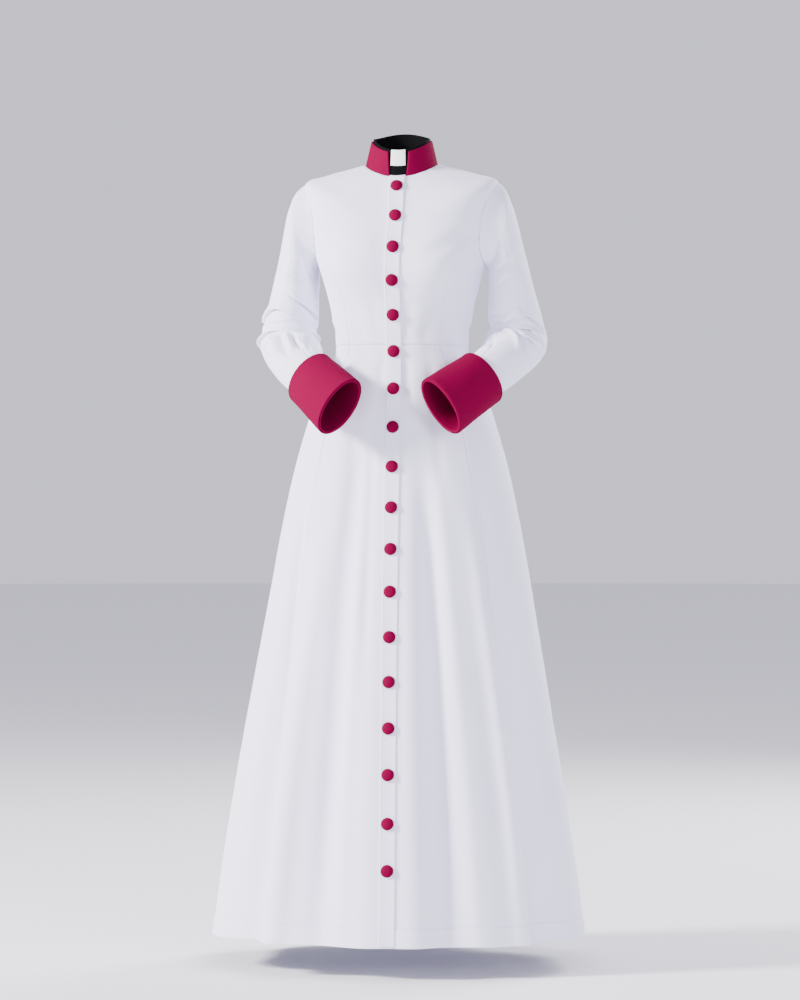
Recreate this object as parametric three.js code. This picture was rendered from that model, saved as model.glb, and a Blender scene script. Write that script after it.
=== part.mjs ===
// A full-length clergy robe, worn: princess-cut bodice, flared skirt, set-in sleeves bent forward at the
// elbow, deep turned-back cuffs, a stand collar over a neckband with a white tab, and a buttoned placket.
// Millimetres. +Z is up, the front faces -Y, the wearer's left is +X, and the origin is the middle of the
// neck opening at the height where the collar crosses the shoulder seams.
import * as THREE from 'three';

// Cloth and sewing
const CLOTH = 2.0;
const SEAM = 0.3;
const WHITE = { color: 0xf1f1f8, roughness: 0.85, metalness: 0 };
const MAGENTA = { color: 0xb5085f, roughness: 0.7, metalness: 0 };
const BLACK = { color: 0x101014, roughness: 0.8, metalness: 0 };

// Levels of the body of the robe, from the neck seam down to the hem. Each is one ring round the body:
// heights at the front, side and back, half width, depths to the front and back, how square it is, and how
// far the cloth is turned round the wearer there (degrees, to the left). SHOULDER_ROUNDING is how quickly
// a level leaves its height at the side, and HEM_SWING how far the hem hangs over to the left.
const heights = (front, side = front, back = front) => ({ front, side, back });
const LEVELS = [
  { name: 'neck', ...heights(-25, 0, 12), wide: 64, fore: 62, aft: 50, square: 2.0, twist: 0 },
  { name: 'collar', ...heights(-47, -9, -2), wide: 100, fore: 77, aft: 72, square: 2.1, twist: 0 },
  { name: 'shoulder', ...heights(-78, -19, -25), wide: 137, fore: 91, aft: 88, square: 2.3, twist: 0 },
  { name: 'tip', ...heights(-110, -32, -58), wide: 171, fore: 101, aft: 96, square: 2.5, twist: 0 },
  { name: 'chest', ...heights(-135, -78, -100), wide: 168, fore: 106, aft: 99, square: 2.6, twist: -1 },
  { name: 'armhole', ...heights(-156, -128, -138), wide: 160, fore: 109, aft: 99, square: 2.6, twist: -1.5 },
  { name: 'underarm', ...heights(-178, -176, -178), wide: 148, fore: 112, aft: 97, square: 2.5, twist: -2 },
  { name: 'bust', ...heights(-205), wide: 139, fore: 110, aft: 94, square: 2.4, twist: -2.2 },
  { name: 'ribs', ...heights(-256), wide: 126, fore: 98, aft: 86, square: 2.3, twist: -2.4 },
  { name: 'waist', ...heights(-322), wide: 117, fore: 88, aft: 78, square: 2.2, twist: -2.4 },
  { name: 'high_hip', ...heights(-356), wide: 126, fore: 91, aft: 90, square: 2.2, twist: -2.2 },
  { name: 'hip', ...heights(-400), wide: 146, fore: 96, aft: 107, square: 2.2, twist: -1.8 },
  { name: 'low_hip', ...heights(-455), wide: 166, fore: 103, aft: 125, square: 2.15, twist: -1.4 },
  { name: 'thigh', ...heights(-560), wide: 195, fore: 124, aft: 150, square: 2.1, twist: -0.8 },
  { name: 'knee_high', ...heights(-700), wide: 224, fore: 152, aft: 178, square: 2.05, twist: 0 },
  { name: 'knee', ...heights(-860), wide: 254, fore: 184, aft: 208, square: 2.0, twist: 0.8 },
  { name: 'calf', ...heights(-1030), wide: 284, fore: 217, aft: 238, square: 2.0, twist: 1.5 },
  { name: 'shin', ...heights(-1200), wide: 311, fore: 248, aft: 266, square: 2.0, twist: 2.1 },
  { name: 'hem', ...heights(-1355), wide: 333, fore: 273, aft: 288, square: 2.0, twist: 2.5 },
];
const levelOf = (name) => LEVELS.findIndex((row) => row.name === name);
const NECK = levelOf('neck');
const PRINCESS_START = levelOf('armhole');
const UNDERARM = levelOf('underarm');
const WAIST = levelOf('waist');
const HEM = levelOf('hem');
const SHOULDER_ROUNDING = 1.6;
const HEM_SWING = -5;

// The princess cut gives the bust its fullness: angle and height of the fullest place, its spread and depth.
const BUST = { angle: 36, spread: 19, height: -182, drop: 52, depth: 13 };

// Seam angles from the centre front (0) round to the centre back (180), by level.
const SEAM_ANGLES = [
  { level: PRINCESS_START, front: 68, back: 113 },
  { level: 5.5, front: 56, back: 124 },
  { level: UNDERARM, front: 50, back: 130 },
  { level: 7, front: 47, back: 134 },
  { level: 8, front: 48, back: 136 },
  { level: WAIST, front: 50, back: 138 },
  { level: 10, front: 54, back: 137 },
  { level: 12, front: 57, back: 136 },
  { level: 14, front: 56, back: 136 },
  { level: 16, front: 52, back: 136 },
  { level: HEM, front: 48, back: 136 },
];

// The armhole's edge, from the shoulder tip to where the princess seams leave it, and on to the underarm.
// SHOULDER_LEVELS are the rows of cloth above the tip, and ROW_STEP parts the rows below the armhole.
const SHOULDER_LEVELS = [0, 0.75, 1.5, 2.25];
const ROW_STEP = 0.5;
const ARMHOLE_LEVELS = [3, 3.1, 3.32, 3.68, 4.1, 4.55, 5];
const ARMHOLE_ANGLES = {
  front: [90, 82, 75, 70, 67.5, 67, 68],
  back: [90, 98, 105, 110, 112.5, 113.5, 113],
};
const UNDERARM_CURVE = {
  levels: [5, 5.3, 5.56, 5.76, 5.9, 5.97, 6],
  turn: [0, 0.08, 0.2, 0.37, 0.58, 0.8, 1],
};

// Folds of the skirt: angle at the waist and the hem, spread (degrees), rise at the hem (mm; a valley is
// below 0) and the height at which it starts. FOLD_GROWTH brings each to its full rise above the hem.
const FOLDS = [
  { top: -8, hem: -8, spread: 6, rise: 5, start: -420 },
  { top: -30, hem: -26, spread: 9, rise: -17, start: -380 },
  { top: -52, hem: -44, spread: 5, rise: 13, start: -560 },
  { top: -64, hem: -54, spread: 6, rise: -18, start: -480 },
  { top: -76, hem: -71, spread: 8, rise: 9, start: -520 },
  { top: -95, hem: -93, spread: 9, rise: -13, start: -500 },
  { top: -116, hem: -114, spread: 8, rise: 11, start: -480 },
  { top: -134, hem: -134, spread: 8, rise: -15, start: -450 },
  { top: -152, hem: -153, spread: 8, rise: 12, start: -500 },
  { top: -168, hem: -169, spread: 6, rise: -12, start: -430 },
  { top: 11, hem: 10, spread: 6, rise: 6, start: -420 },
  { top: 26, hem: 22, spread: 8, rise: -15, start: -400 },
  { top: 42, hem: 37, spread: 7, rise: 7, start: -560 },
  { top: 53, hem: 48.5, spread: 4.5, rise: 13, start: -600 },
  { top: 64, hem: 57.5, spread: 6, rise: -19, start: -470 },
  { top: 78, hem: 74, spread: 8, rise: 9, start: -520 },
  { top: 96, hem: 95, spread: 9, rise: -12, start: -500 },
  { top: 117, hem: 117, spread: 9, rise: 12, start: -470 },
  { top: 139, hem: 138, spread: 8, rise: -14, start: -460 },
  { top: 158, hem: 158, spread: 8, rise: 12, start: -520 },
  { top: 176, hem: 177, spread: 6, rise: -10, start: -440 },
];
const FOLD_GROWTH = 1.15;

// Collar: the magenta band stands on the neck seam and leans in; the black neckband inside stands higher.
const COLLAR = { tall: 42, leanSide: 10, leanFront: 5, leanBack: 2, wall: 2.4, gapBase: 15, gapTop: 20 };
const COLLAR_COLUMNS = 36;
const COLLAR_HEIGHTS = [0, 0.5, 1];
const NECKBAND = { tall: 46.5, wall: 1.8 };
const TAB = { wide: 28, tall: 28, wall: 1.2 };

// Placket and buttons. The gaps between buttons widen from the collar to the hem, ever more slowly.
// `profile` is a button's outline from the middle of its foot over its dome, as shares of radius and height.
const PLACKET = { half: 14, wall: 1.8 };
const BUTTON = {
  count: 18,
  radius: 11,
  tall: 7,
  sides: 10,
  profile: [[0, 0], [0.95, 0], [1, 0.3], [0.74, 0.8], [0.35, 0.97], [0, 1]],
  first: -43,
  gapTop: 53,
  gapMore: 28,
  gapEase: 1.5,
};

// Sleeves, wearer's left; the right is its mirror. Each section is given by its outermost point (elbow
// side), its innermost point (body side) and half its depth across the arm.
const SLEEVE = [
  { outer: [182, 1, -44], inner: [152.5, 1, -184], deep: 61 },
  { outer: [194, 2, -68], inner: [153.5, 3, -194], deep: 61.5 },
  { outer: [205, 5, -105], inner: [154, 6, -208], deep: 61 },
  { outer: [215, 9, -148], inner: [153.5, 9, -226], deep: 60 },
  { outer: [226, 13, -190], inner: [152.5, 12, -246], deep: 59 },
  { outer: [236, 18, -230], inner: [152, 15, -267], deep: 58 },
  { outer: [245, 24, -264], inner: [153, 18, -287], deep: 57 },
  { outer: [251, 29, -290], inner: [154, 19, -301], deep: 56 },
  { outer: [255, 31, -313], inner: [153, 14, -309], deep: 55 },
  { outer: [251, 20, -334], inner: [150, -6, -315], deep: 53 },
  { outer: [241, 2, -352], inner: [146, -29, -321], deep: 48 },
  { outer: [225, -24, -370], inner: [141, -54, -329], deep: 41 },
  { outer: [203, -52, -391], inner: [136, -74, -337], deep: 34 },
];
const ELBOW_FOLDS = [
  { row: 6.3, side: 180, spread: 75, rise: -4, width: 0.5 },
  { row: 7.2, side: 175, spread: 80, rise: 5, width: 0.55 },
  { row: 8.3, side: 180, spread: 85, rise: -9, width: 0.5 },
  { row: 9.3, side: 170, spread: 80, rise: 4, width: 0.6 },
  { row: 10.4, side: 185, spread: 70, rise: -4, width: 0.55 },
];
const ARMHOLE_RAISE = 0.7;
const RING = 24;
const ELBOW_REACH = 4;
// Each sleeve is cut in two: the top sleeve goes round the outside of the arm, from just past the back
// seam to just past the front one, and the under sleeve fills the rest. Columns of the ring.
const SLEEVE_CUT = { top: [-8, 9], under: [9, 16] };

// Cuff: a turned-back band. Its outer layer runs from the edge near the elbow to the mouth, where it
// meets a facing that runs back inside the sleeve's end, `pastEnd` clear of it. Stations are shares of
// the way down the cuff.
const CUFF = {
  wall: 2.4,
  facingWall: 1.6,
  standOff: 8,
  stations: [0, 0.3, 0.6, 0.93],
  facingFrom: 1,
  pastEnd: 0.015,
};
const CUFF_EDGE = { outer: [181.5, -82, -420.5], inner: [122.5, -92, -338], deep: 37 };
const CUFF_MOUTH = { outer: [119, -168, -478], inner: [56.5, -166, -386], deep: 33 };

// Steps by which the body's normals are measured, and the search for a place across its front.
const NORMAL_STEP = { angle: 0.4, level: 0.02 };
const SEARCH = { widest: 60, halvings: 30 };

const rad = THREE.MathUtils.degToRad;
const smooth = (t) => THREE.MathUtils.smoothstep(t, 0, 1);
const fromCentre = (angle) => THREE.MathUtils.euclideanModulo(angle + 180, 360) - 180;

/** Catmull-Rom through one named column of a table, at a fractional row. */
function along(table, column, row) {
  const last = table.length - 1;
  const at = Math.min(Math.max(row, 0), last);
  const i = Math.min(Math.floor(at), last - 1);
  const t = at - i;
  const p1 = table[i][column];
  const p2 = table[i + 1][column];
  const p0 = i > 0 ? table[i - 1][column] : 2 * p1 - p2;
  const p3 = i + 2 <= last ? table[i + 2][column] : 2 * p2 - p1;
  return 0.5 * (2 * p1 + (p2 - p0) * t + (2 * p0 - 5 * p1 + 4 * p2 - p3) * t * t
    + (3 * p1 - p0 - 3 * p2 + p3) * t * t * t);
}

/** Linear interpolation in a table of rows keyed by level. */
function seamAngle(level, side) {
  const i = Math.max(1, SEAM_ANGLES.findIndex((row) => row.level >= level - 1e-9));
  const [a, b] = [SEAM_ANGLES[i - 1], SEAM_ANGLES[i]];
  const t = (level - a.level) / (b.level - a.level);
  return a[side] + (b[side] - a[side]) * Math.max(0, t);
}

/** How far the folds push the skirt out at an angle (degrees) and a height. */
function foldRise(angle, z) {
  const hemZ = LEVELS[HEM].side;
  const waistZ = LEVELS[WAIST].side;
  const down = (waistZ - z) / (waistZ - hemZ);
  let sum = 0;
  for (const fold of FOLDS) {
    const grown = smooth((fold.start - z) / (fold.start - hemZ) * FOLD_GROWTH);
    if (grown <= 0) continue;
    const middle = fold.top + (fold.hem - fold.top) * down;
    const off = fromCentre(angle - middle) / fold.spread;
    sum += fold.rise * grown * Math.exp(-(off ** 2));
  }
  return sum;
}

/** A point of the robe's outer surface: angle in degrees from the centre front, positive to the left. */
function body(angle, level) {
  const turned = angle + along(LEVELS, 'twist', level);
  const s = Math.sin(rad(turned));
  const c = Math.cos(rad(turned));
  const wide = along(LEVELS, 'wide', level);
  const deep = along(LEVELS, c > 0 ? 'fore' : 'aft', level);
  const n = along(LEVELS, 'square', level);
  let r = (Math.abs(s / wide) ** n + Math.abs(c / deep) ** n) ** (-1 / n);
  const side = along(LEVELS, 'side', level);
  const far = along(LEVELS, c > 0 ? 'front' : 'back', level);
  const z = side + (far - side) * Math.abs(c) ** SHOULDER_ROUNDING;
  const fromApex = (Math.abs(angle) - BUST.angle) / BUST.spread;
  r += BUST.depth * Math.exp(-(fromApex ** 2) - ((z - BUST.height) / BUST.drop) ** 2);
  if (level > WAIST) r += foldRise(angle, z);
  const swing = HEM_SWING * Math.max(0, (level - WAIST) / (HEM - WAIST)) ** 2;
  return new THREE.Vector3(r * s + swing, -r * c, z);
}

/** Outward unit normal of the body surface. */
function bodyNormal(angle, level) {
  const turn = NORMAL_STEP.angle;
  const above = Math.max(level - NORMAL_STEP.level, NECK);
  const below = Math.min(level + NORMAL_STEP.level, HEM);
  const round = body(angle + turn, level).sub(body(angle - turn, level));
  const down = body(angle, below).sub(body(angle, above));
  return down.cross(round).normalize();
}

/** The angle at which a level of the front is a given distance to one side of the centre line. */
function angleAcross(x, level) {
  const centre = body(0, level).x;
  const hand = Math.sign(x);
  let low = 0;
  let high = SEARCH.widest;
  for (let i = 0; i < SEARCH.halvings; i += 1) {
    const middle = (low + high) / 2;
    if ((body(hand * middle, level).x - centre) * hand < Math.abs(x)) low = middle;
    else high = middle;
  }
  return hand * low;
}

/** Grid of [angle, level] pairs to grids of outer points and outward normals. */
function bodyGrid(places) {
  const outer = places.map((row) => row.map(([angle, level]) => body(angle, level)));
  const normal = places.map((row) => row.map(([angle, level]) => bodyNormal(angle, level)));
  return { outer, normal };
}

/** Pulls the four edges of a grid in by a gap, so that neighbours stay apart. */
function insetEdges(grid, gap) {
  const rows = grid.length - 1;
  const cols = grid[0].length - 1;
  const before = grid.map((row) => row.map((p) => p.clone()));
  const toward = (i, j, a, b) => {
    const step = before[a][b].clone().sub(before[i][j]);
    grid[i][j].addScaledVector(step.normalize(), gap);
  };
  for (let i = 0; i <= rows; i += 1) {
    toward(i, 0, i, 1);
    toward(i, cols, i, cols - 1);
  }
  for (let j = 0; j <= cols; j += 1) {
    toward(0, j, 1, j);
    toward(rows, j, rows - 1, j);
  }
  return grid;
}

/** Closed geometry from a grid of outer points and a matching grid of inner points. Columns before
 *  `middle` have their squares split the other way, as a mirrored panel's are. */
function slab(outer, inner, faceOut, middle = 0) {
  const rows = outer.length;
  const cols = outer[0].length;
  const points = [...outer.flat(), ...inner.flat()];
  const index = [];
  const at = (layer, i, j) => layer * rows * cols + i * cols + j;
  const quad = (a, b, c, d) => index.push(a, b, c, a, c, d);
  for (let i = 0; i < rows - 1; i += 1) {
    for (let j = 0; j < cols - 1; j += 1) {
      if (j < middle) {
        quad(at(0, i, j + 1), at(0, i, j), at(0, i + 1, j), at(0, i + 1, j + 1));
        quad(at(1, i, j + 1), at(1, i + 1, j + 1), at(1, i + 1, j), at(1, i, j));
      } else {
        quad(at(0, i, j), at(0, i + 1, j), at(0, i + 1, j + 1), at(0, i, j + 1));
        quad(at(1, i, j), at(1, i, j + 1), at(1, i + 1, j + 1), at(1, i + 1, j));
      }
    }
    quad(at(0, i, 0), at(1, i, 0), at(1, i + 1, 0), at(0, i + 1, 0));
    quad(at(0, i, cols - 1), at(0, i + 1, cols - 1), at(1, i + 1, cols - 1), at(1, i, cols - 1));
  }
  for (let j = 0; j < cols - 1; j += 1) {
    quad(at(0, 0, j), at(0, 0, j + 1), at(1, 0, j + 1), at(1, 0, j));
    quad(at(0, rows - 1, j), at(1, rows - 1, j), at(1, rows - 1, j + 1), at(0, rows - 1, j + 1));
  }
  return closed(points, index, faceOut);
}

/** Closed geometry swept round a loop: rings[k] are loops of points, joined in a closed profile. */
function loopedWall(rings, faceOut) {
  const count = rings[0].length;
  const points = rings.flat();
  const index = [];
  rings.forEach((ring, k) => {
    const next = (k + 1) % rings.length;
    ring.forEach((_, i) => {
      const j = (i + 1) % count;
      const [a, b, c, d] = [k * count + i, next * count + i, next * count + j, k * count + j];
      index.push(a, b, c, a, c, d);
    });
  });
  return closed(points, index, faceOut);
}

/** BufferGeometry from points and triangles, turned round when faceOut is false. */
function closed(points, index, faceOut = true) {
  const geometry = new THREE.BufferGeometry();
  geometry.setAttribute('position', new THREE.Float32BufferAttribute(points.flatMap((p) => p.toArray()), 3));
  const turned = [];
  for (let i = 0; i < index.length; i += 3) turned.push(index[i], index[i + 2], index[i + 1]);
  geometry.setIndex(faceOut ? index : turned);
  geometry.computeVertexNormals();
  return geometry;
}

/** A cloth panel of the body from its [angle, level] grid, rows running down. */
function bodyPanel(places, faceOut) {
  const { outer, normal } = bodyGrid(places);
  const inner = outer.map((row, i) => row.map((p, j) => p.clone().addScaledVector(normal[i][j], -CLOTH)));
  return slab(insetEdges(outer, SEAM / 2), insetEdges(inner, SEAM / 2), faceOut);
}

/** Angles of the columns of a front panel from the centre out; the second lies under the placket's edge. */
function frontColumns(edge, level, count, hand) {
  const first = Math.abs(angleAcross(hand * PLACKET.half, level));
  const rest = Array.from({ length: count }, (_, k) => first + (edge - first) * (k / (count - 1)));
  return [0, ...rest];
}

/** [angle, level] grid of a centre panel of the bodice, front or back; hand is 1 left, -1 right. */
function centreBodice(side, count, hand) {
  const isFront = side === 'front';
  const rows = SHOULDER_LEVELS.map((level) => ({ level, edge: 90 }));
  ARMHOLE_LEVELS.forEach((level, k) => rows.push({ level, edge: ARMHOLE_ANGLES[side][k] }));
  for (let level = PRINCESS_START + ROW_STEP; level <= WAIST; level += ROW_STEP) {
    rows.push({ level, edge: seamAngle(level, side) });
  }
  return rows.map(({ level, edge }) => {
    if (isFront) return frontColumns(edge, level, count, hand).map((angle) => [hand * angle, level]);
    return Array.from({ length: count + 1 }, (_, k) => [hand * (180 + (edge - 180) * (k / count)), level]);
  });
}

/** [angle, level] grid of a side panel of the bodice: the armhole above it, the princess seam on one side
 *  and the side seam on the other. */
function sideBodice(side, hand) {
  const levels = UNDERARM_CURVE.levels;
  const start = ARMHOLE_ANGLES[side].at(-1);
  const top = levels.map((level, k) => [start + (90 - start) * UNDERARM_CURVE.turn[k], level]);
  const bottom = top.map((_, k) => {
    const from = seamAngle(WAIST, side);
    return [from + (90 - from) * (k / (top.length - 1)), WAIST];
  });
  const rows = [];
  for (let level = PRINCESS_START; level <= WAIST; level += ROW_STEP) rows.push(level);
  return rows.map((level, i) => {
    const t = i / (rows.length - 1);
    const seam = [i === 0 ? start : seamAngle(level, side), level];
    const flank = [90, UNDERARM + (WAIST - UNDERARM) * t];
    return top.map((_, k) => {
      const s = k / (top.length - 1);
      const [angle, height] = [0, 1].map((axis) => {
        const ruled = (1 - t) * top[k][axis] + t * bottom[k][axis];
        const across = (1 - s) * seam[axis] + s * flank[axis];
        const corners = (1 - s) * ((1 - t) * top[0][axis] + t * bottom[0][axis])
          + s * ((1 - t) * top.at(-1)[axis] + t * bottom.at(-1)[axis]);
        return ruled + across - corners;
      });
      return [hand * angle, height];
    });
  });
}

const SKIRT_ROWS = 12;
const skirtLevels = Array.from(
  { length: SKIRT_ROWS + 1 },
  (_, i) => WAIST + (HEM - WAIST) * (i / SKIRT_ROWS),
);

/** [angle, level] grid of a skirt panel: `name` is front, side_front, side_back or back. */
function skirtPanel(name, count, hand) {
  return skirtLevels.map((level) => {
    const front = seamAngle(level, 'front');
    const back = seamAngle(level, 'back');
    const [from, to] = { side_front: [front, 90], side_back: [90, back], back: [back, 180] }[name] ?? [];
    const columns = name === 'front'
      ? frontColumns(front, level, count, hand)
      : Array.from({ length: count + 1 }, (_, k) => from + (to - from) * (k / count));
    return columns.map((angle) => [hand * angle, level]);
  });
}

const robe = new THREE.Group();
const materials = {
  white: new THREE.MeshStandardMaterial(WHITE),
  magenta: new THREE.MeshStandardMaterial(MAGENTA),
  black: new THREE.MeshStandardMaterial(BLACK),
};

/** Adds one named piece. */
function piece(name, geometry, material) {
  const mesh = new THREE.Mesh(geometry, materials[material]);
  mesh.name = name;
  robe.add(mesh);
  return mesh;
}
const HANDS = [{ side: 'left', hand: 1 }, { side: 'right', hand: -1 }];

// Body panels. `around` is 1 where a panel's columns run toward the back, -1 where toward the front.
const BODY_PANELS = [
  { name: 'bodice_front', places: (hand) => centreBodice('front', 8, hand), around: 1 },
  { name: 'bodice_side_front', places: (hand) => sideBodice('front', hand), around: 1 },
  { name: 'bodice_side_back', places: (hand) => sideBodice('back', hand), around: -1 },
  { name: 'bodice_back', places: (hand) => centreBodice('back', 7, hand), around: -1 },
  { name: 'skirt_front', places: (hand) => skirtPanel('front', 10, hand), around: 1 },
  { name: 'skirt_side_front', places: (hand) => skirtPanel('side_front', 7, hand), around: 1 },
  { name: 'skirt_side_back', places: (hand) => skirtPanel('side_back', 7, hand), around: 1 },
  { name: 'skirt_back', places: (hand) => skirtPanel('back', 7, hand), around: 1 },
];
for (const { name, places, around } of BODY_PANELS) {
  for (const { side, hand } of HANDS) {
    piece(`${name}_${side}`, bodyPanel(places(hand), around * hand > 0), 'white');
  }
}

// Placket: a strip over the centre front, from the collar seam to the hem.
const placketLevels = centreBodice('front', 8, 1).map((row) => row[0][1]).concat(skirtLevels.slice(1));

/** Three columns of points over the placket's run, a given distance out from the body. */
function placketGrid(out) {
  return placketLevels.map((level) => [-PLACKET.half, 0, PLACKET.half].map((x) => {
    const angle = angleAcross(x, level);
    return body(angle, level).addScaledVector(bodyNormal(angle, level), out);
  }));
}
const placketInner = placketGrid(SEAM);
const placketOuter = placketGrid(SEAM + PLACKET.wall);
[placketInner, placketOuter].forEach((grid) => grid[0].forEach((p) => p.setZ(p.z - SEAM)));
const PLACKET_MIDDLE = 1;
piece('placket', slab(placketOuter, placketInner, true, PLACKET_MIDDLE), 'white');

/** The placket's outer face at a height, on one of its columns. */
function placketFace(z, column = PLACKET_MIDDLE) {
  const i = Math.max(1, placketOuter.findIndex((row) => row[column].z < z));
  const [above, below] = [placketOuter[i - 1][column], placketOuter[i][column]];
  return above.clone().lerp(below, (above.z - z) / (above.z - below.z));
}

/** Domed covered button, flat underneath, its axis along +Y of its own frame. */
function buttonGeometry() {
  const { radius, tall, sides, profile } = BUTTON;
  const points = profile.map(([r, h]) => new THREE.Vector2(r * radius, h * tall));
  return new THREE.LatheGeometry(points, sides);
}

/** Heights of the buttons' middles, from the collar down. */
function buttonHeights() {
  const { count, first, gapTop, gapMore, gapEase } = BUTTON;
  const run = [first];
  for (let k = 0; k < count - 1; k += 1) {
    const eased = 1 - Math.max(0, 1 - k / (count - 2)) ** gapEase;
    run.push(run[k] - gapTop - gapMore * eased);
  }
  return run;
}

/** Stands a button on the placket: it faces as the cloth behind it does and clears its highest place. */
function seatButton(button, z) {
  const { radius } = BUTTON;
  const centre = placketFace(z);
  const [top, foot] = [placketFace(z + radius), placketFace(z - radius)];
  const outward = new THREE.Vector3(0, top.z - foot.z, foot.y - top.y).normalize().negate();
  const lifts = [-1, -0.5, 0, 0.5, 1].flatMap((t) => [0, 1, 2].map((column) => (
    placketFace(z + t * radius, column).sub(centre).dot(outward))));
  button.position.copy(centre).addScaledVector(outward, Math.max(...lifts) + SEAM);
  button.quaternion.setFromUnitVectors(new THREE.Vector3(0, 1, 0), outward);
}
buttonHeights().forEach((z, k) => {
  seatButton(piece(`button_${String(k + 1).padStart(2, '0')}`, buttonGeometry(), 'magenta'), z);
});

/** A point of the stand collar: angle from the front, height up the band, depth in from its outer face. */
function collarPoint(angle, up, inward) {
  const base = body(angle, NECK);
  const c = Math.cos(rad(angle));
  const flat = new THREE.Vector3(base.x, base.y, 0);
  const ends = c > 0 ? COLLAR.leanFront : COLLAR.leanBack;
  const lean = (COLLAR.leanSide + (ends - COLLAR.leanSide) * c * c) * (up / COLLAR.tall);
  flat.setLength(flat.length() - lean - inward);
  return new THREE.Vector3(flat.x, flat.y, base.z + SEAM + up);
}

/** The magenta band, open at the front, where its ends slope away from the tab. */
function collarGeometry() {
  const wall = (inward) => COLLAR_HEIGHTS.map((t) => {
    const up = t * COLLAR.tall;
    const gap = COLLAR.gapBase + (COLLAR.gapTop - COLLAR.gapBase) * t;
    const start = angleAcross(gap, NECK);
    return Array.from({ length: COLLAR_COLUMNS + 1 }, (_, k) => {
      const angle = start + (360 - 2 * start) * (k / COLLAR_COLUMNS);
      return collarPoint(angle, up, inward);
    });
  });
  return slab(wall(0), wall(COLLAR.wall), false);
}
piece('collar', collarGeometry(), 'magenta');

/** The black neckband, a closed ring inside the collar and a little taller. */
function neckbandGeometry() {
  const start = COLLAR.wall + 2 * SEAM;
  const ring = (t, inward) => Array.from({ length: COLLAR_COLUMNS }, (_, k) => (
    collarPoint(k * (360 / COLLAR_COLUMNS), t * NECKBAND.tall, inward)));
  const outer = COLLAR_HEIGHTS.map((t) => ring(t, start));
  const inner = COLLAR_HEIGHTS.map((t) => ring(t, start + NECKBAND.wall)).reverse();
  return loopedWall([...outer, ...inner], false);
}
piece('neckband', neckbandGeometry(), 'black');

/** The white tab in the gap of the collar, curved like the neckband behind it. */
function tabGeometry() {
  const rows = [NECKBAND.tall - TAB.tall, NECKBAND.tall - TAB.tall / 2, NECKBAND.tall - SEAM];
  const reach = angleAcross(TAB.wide / 2, NECK);
  const wall = (inward) => rows.map((up) => [-1, -0.5, 0, 0.5, 1].map((side) => (
    collarPoint(side * reach, up, inward))));
  return slab(wall(COLLAR.wall - TAB.wall), wall(COLLAR.wall), false);
}
piece('collar_tab', tabGeometry(), 'white');

/** The armhole's edge as [angle, level] on the left, from the shoulder tip round by the front. */
function armholeEdge() {
  const down = ARMHOLE_LEVELS.map((level, k) => [ARMHOLE_ANGLES.front[k], level]);
  const under = sideBodice('front', 1)[0].slice(1);
  const backUnder = sideBodice('back', 1)[0].slice(0, -1).reverse();
  const up = ARMHOLE_LEVELS.map((level, k) => [ARMHOLE_ANGLES.back[k], level]).slice(1, -1).reverse();
  return [...down, ...under, ...backUnder, ...up];
}

/** Frame of one sleeve section: its middle, half the way to its outermost point, and across to the front.
 *  The section faces along the arm's run over a few sections either side, so that the elbow turns evenly. */
function sectionFrame(table, k) {
  const point = (row, key) => new THREE.Vector3(...table[row][key]);
  const middle = (row) => point(row, 'outer').add(point(row, 'inner')).multiplyScalar(0.5);
  const [ahead, behind] = [Math.min(k + ELBOW_REACH, table.length - 1), Math.max(k - ELBOW_REACH, 0)];
  const travel = middle(ahead).sub(middle(behind));
  const half = point(k, 'outer').sub(point(k, 'inner')).multiplyScalar(0.5);
  const front = travel.cross(half).setLength(table[k].deep);
  if (front.y > 0) front.negate();
  return { middle: middle(k), half, front };
}

/** How far the folds at the elbow push a sleeve out. */
function elbowRise(row, turn) {
  let sum = 0;
  for (const fold of ELBOW_FOLDS) {
    const round = fromCentre(turn - fold.side) / fold.spread;
    sum += fold.rise * Math.exp(-(((row - fold.row) / fold.width) ** 2) - round ** 2);
  }
  return sum;
}

/** One loop of points of a sleeve section, grown outward or inward by an amount. */
function sectionLoop({ middle, half, front }, grow = 0, rise = () => 0) {
  return Array.from({ length: RING }, (_, i) => {
    const turn = (360 / RING) * i;
    const c = Math.cos(rad(turn));
    const s = Math.sin(rad(turn));
    const more = grow + rise(turn);
    const a = half.clone().setLength(half.length() + more);
    const b = front.clone().setLength(front.length() + more);
    return middle.clone().addScaledVector(a, c).addScaledVector(b, s);
  });
}

/** One loop of the left cuff: how far from its elbow edge to its mouth, and how far in from its face. */
function cuffLoop(t, inward) {
  const ends = [0, 1].map((k) => sectionFrame([CUFF_EDGE, CUFF_MOUTH], k));
  const mix = (key) => ends[0][key].clone().lerp(ends[1][key], t);
  return sectionLoop({ middle: mix('middle'), half: mix('half'), front: mix('front') }, -inward);
}

/** How far in from the cuff's face the sleeve lies: the cuff stands away from it at its upper edge. */
const sleeveInset = (t) => CUFF.wall + SEAM + CUFF.standOff * (1 - t / CUFF.stations.at(-1));

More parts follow.
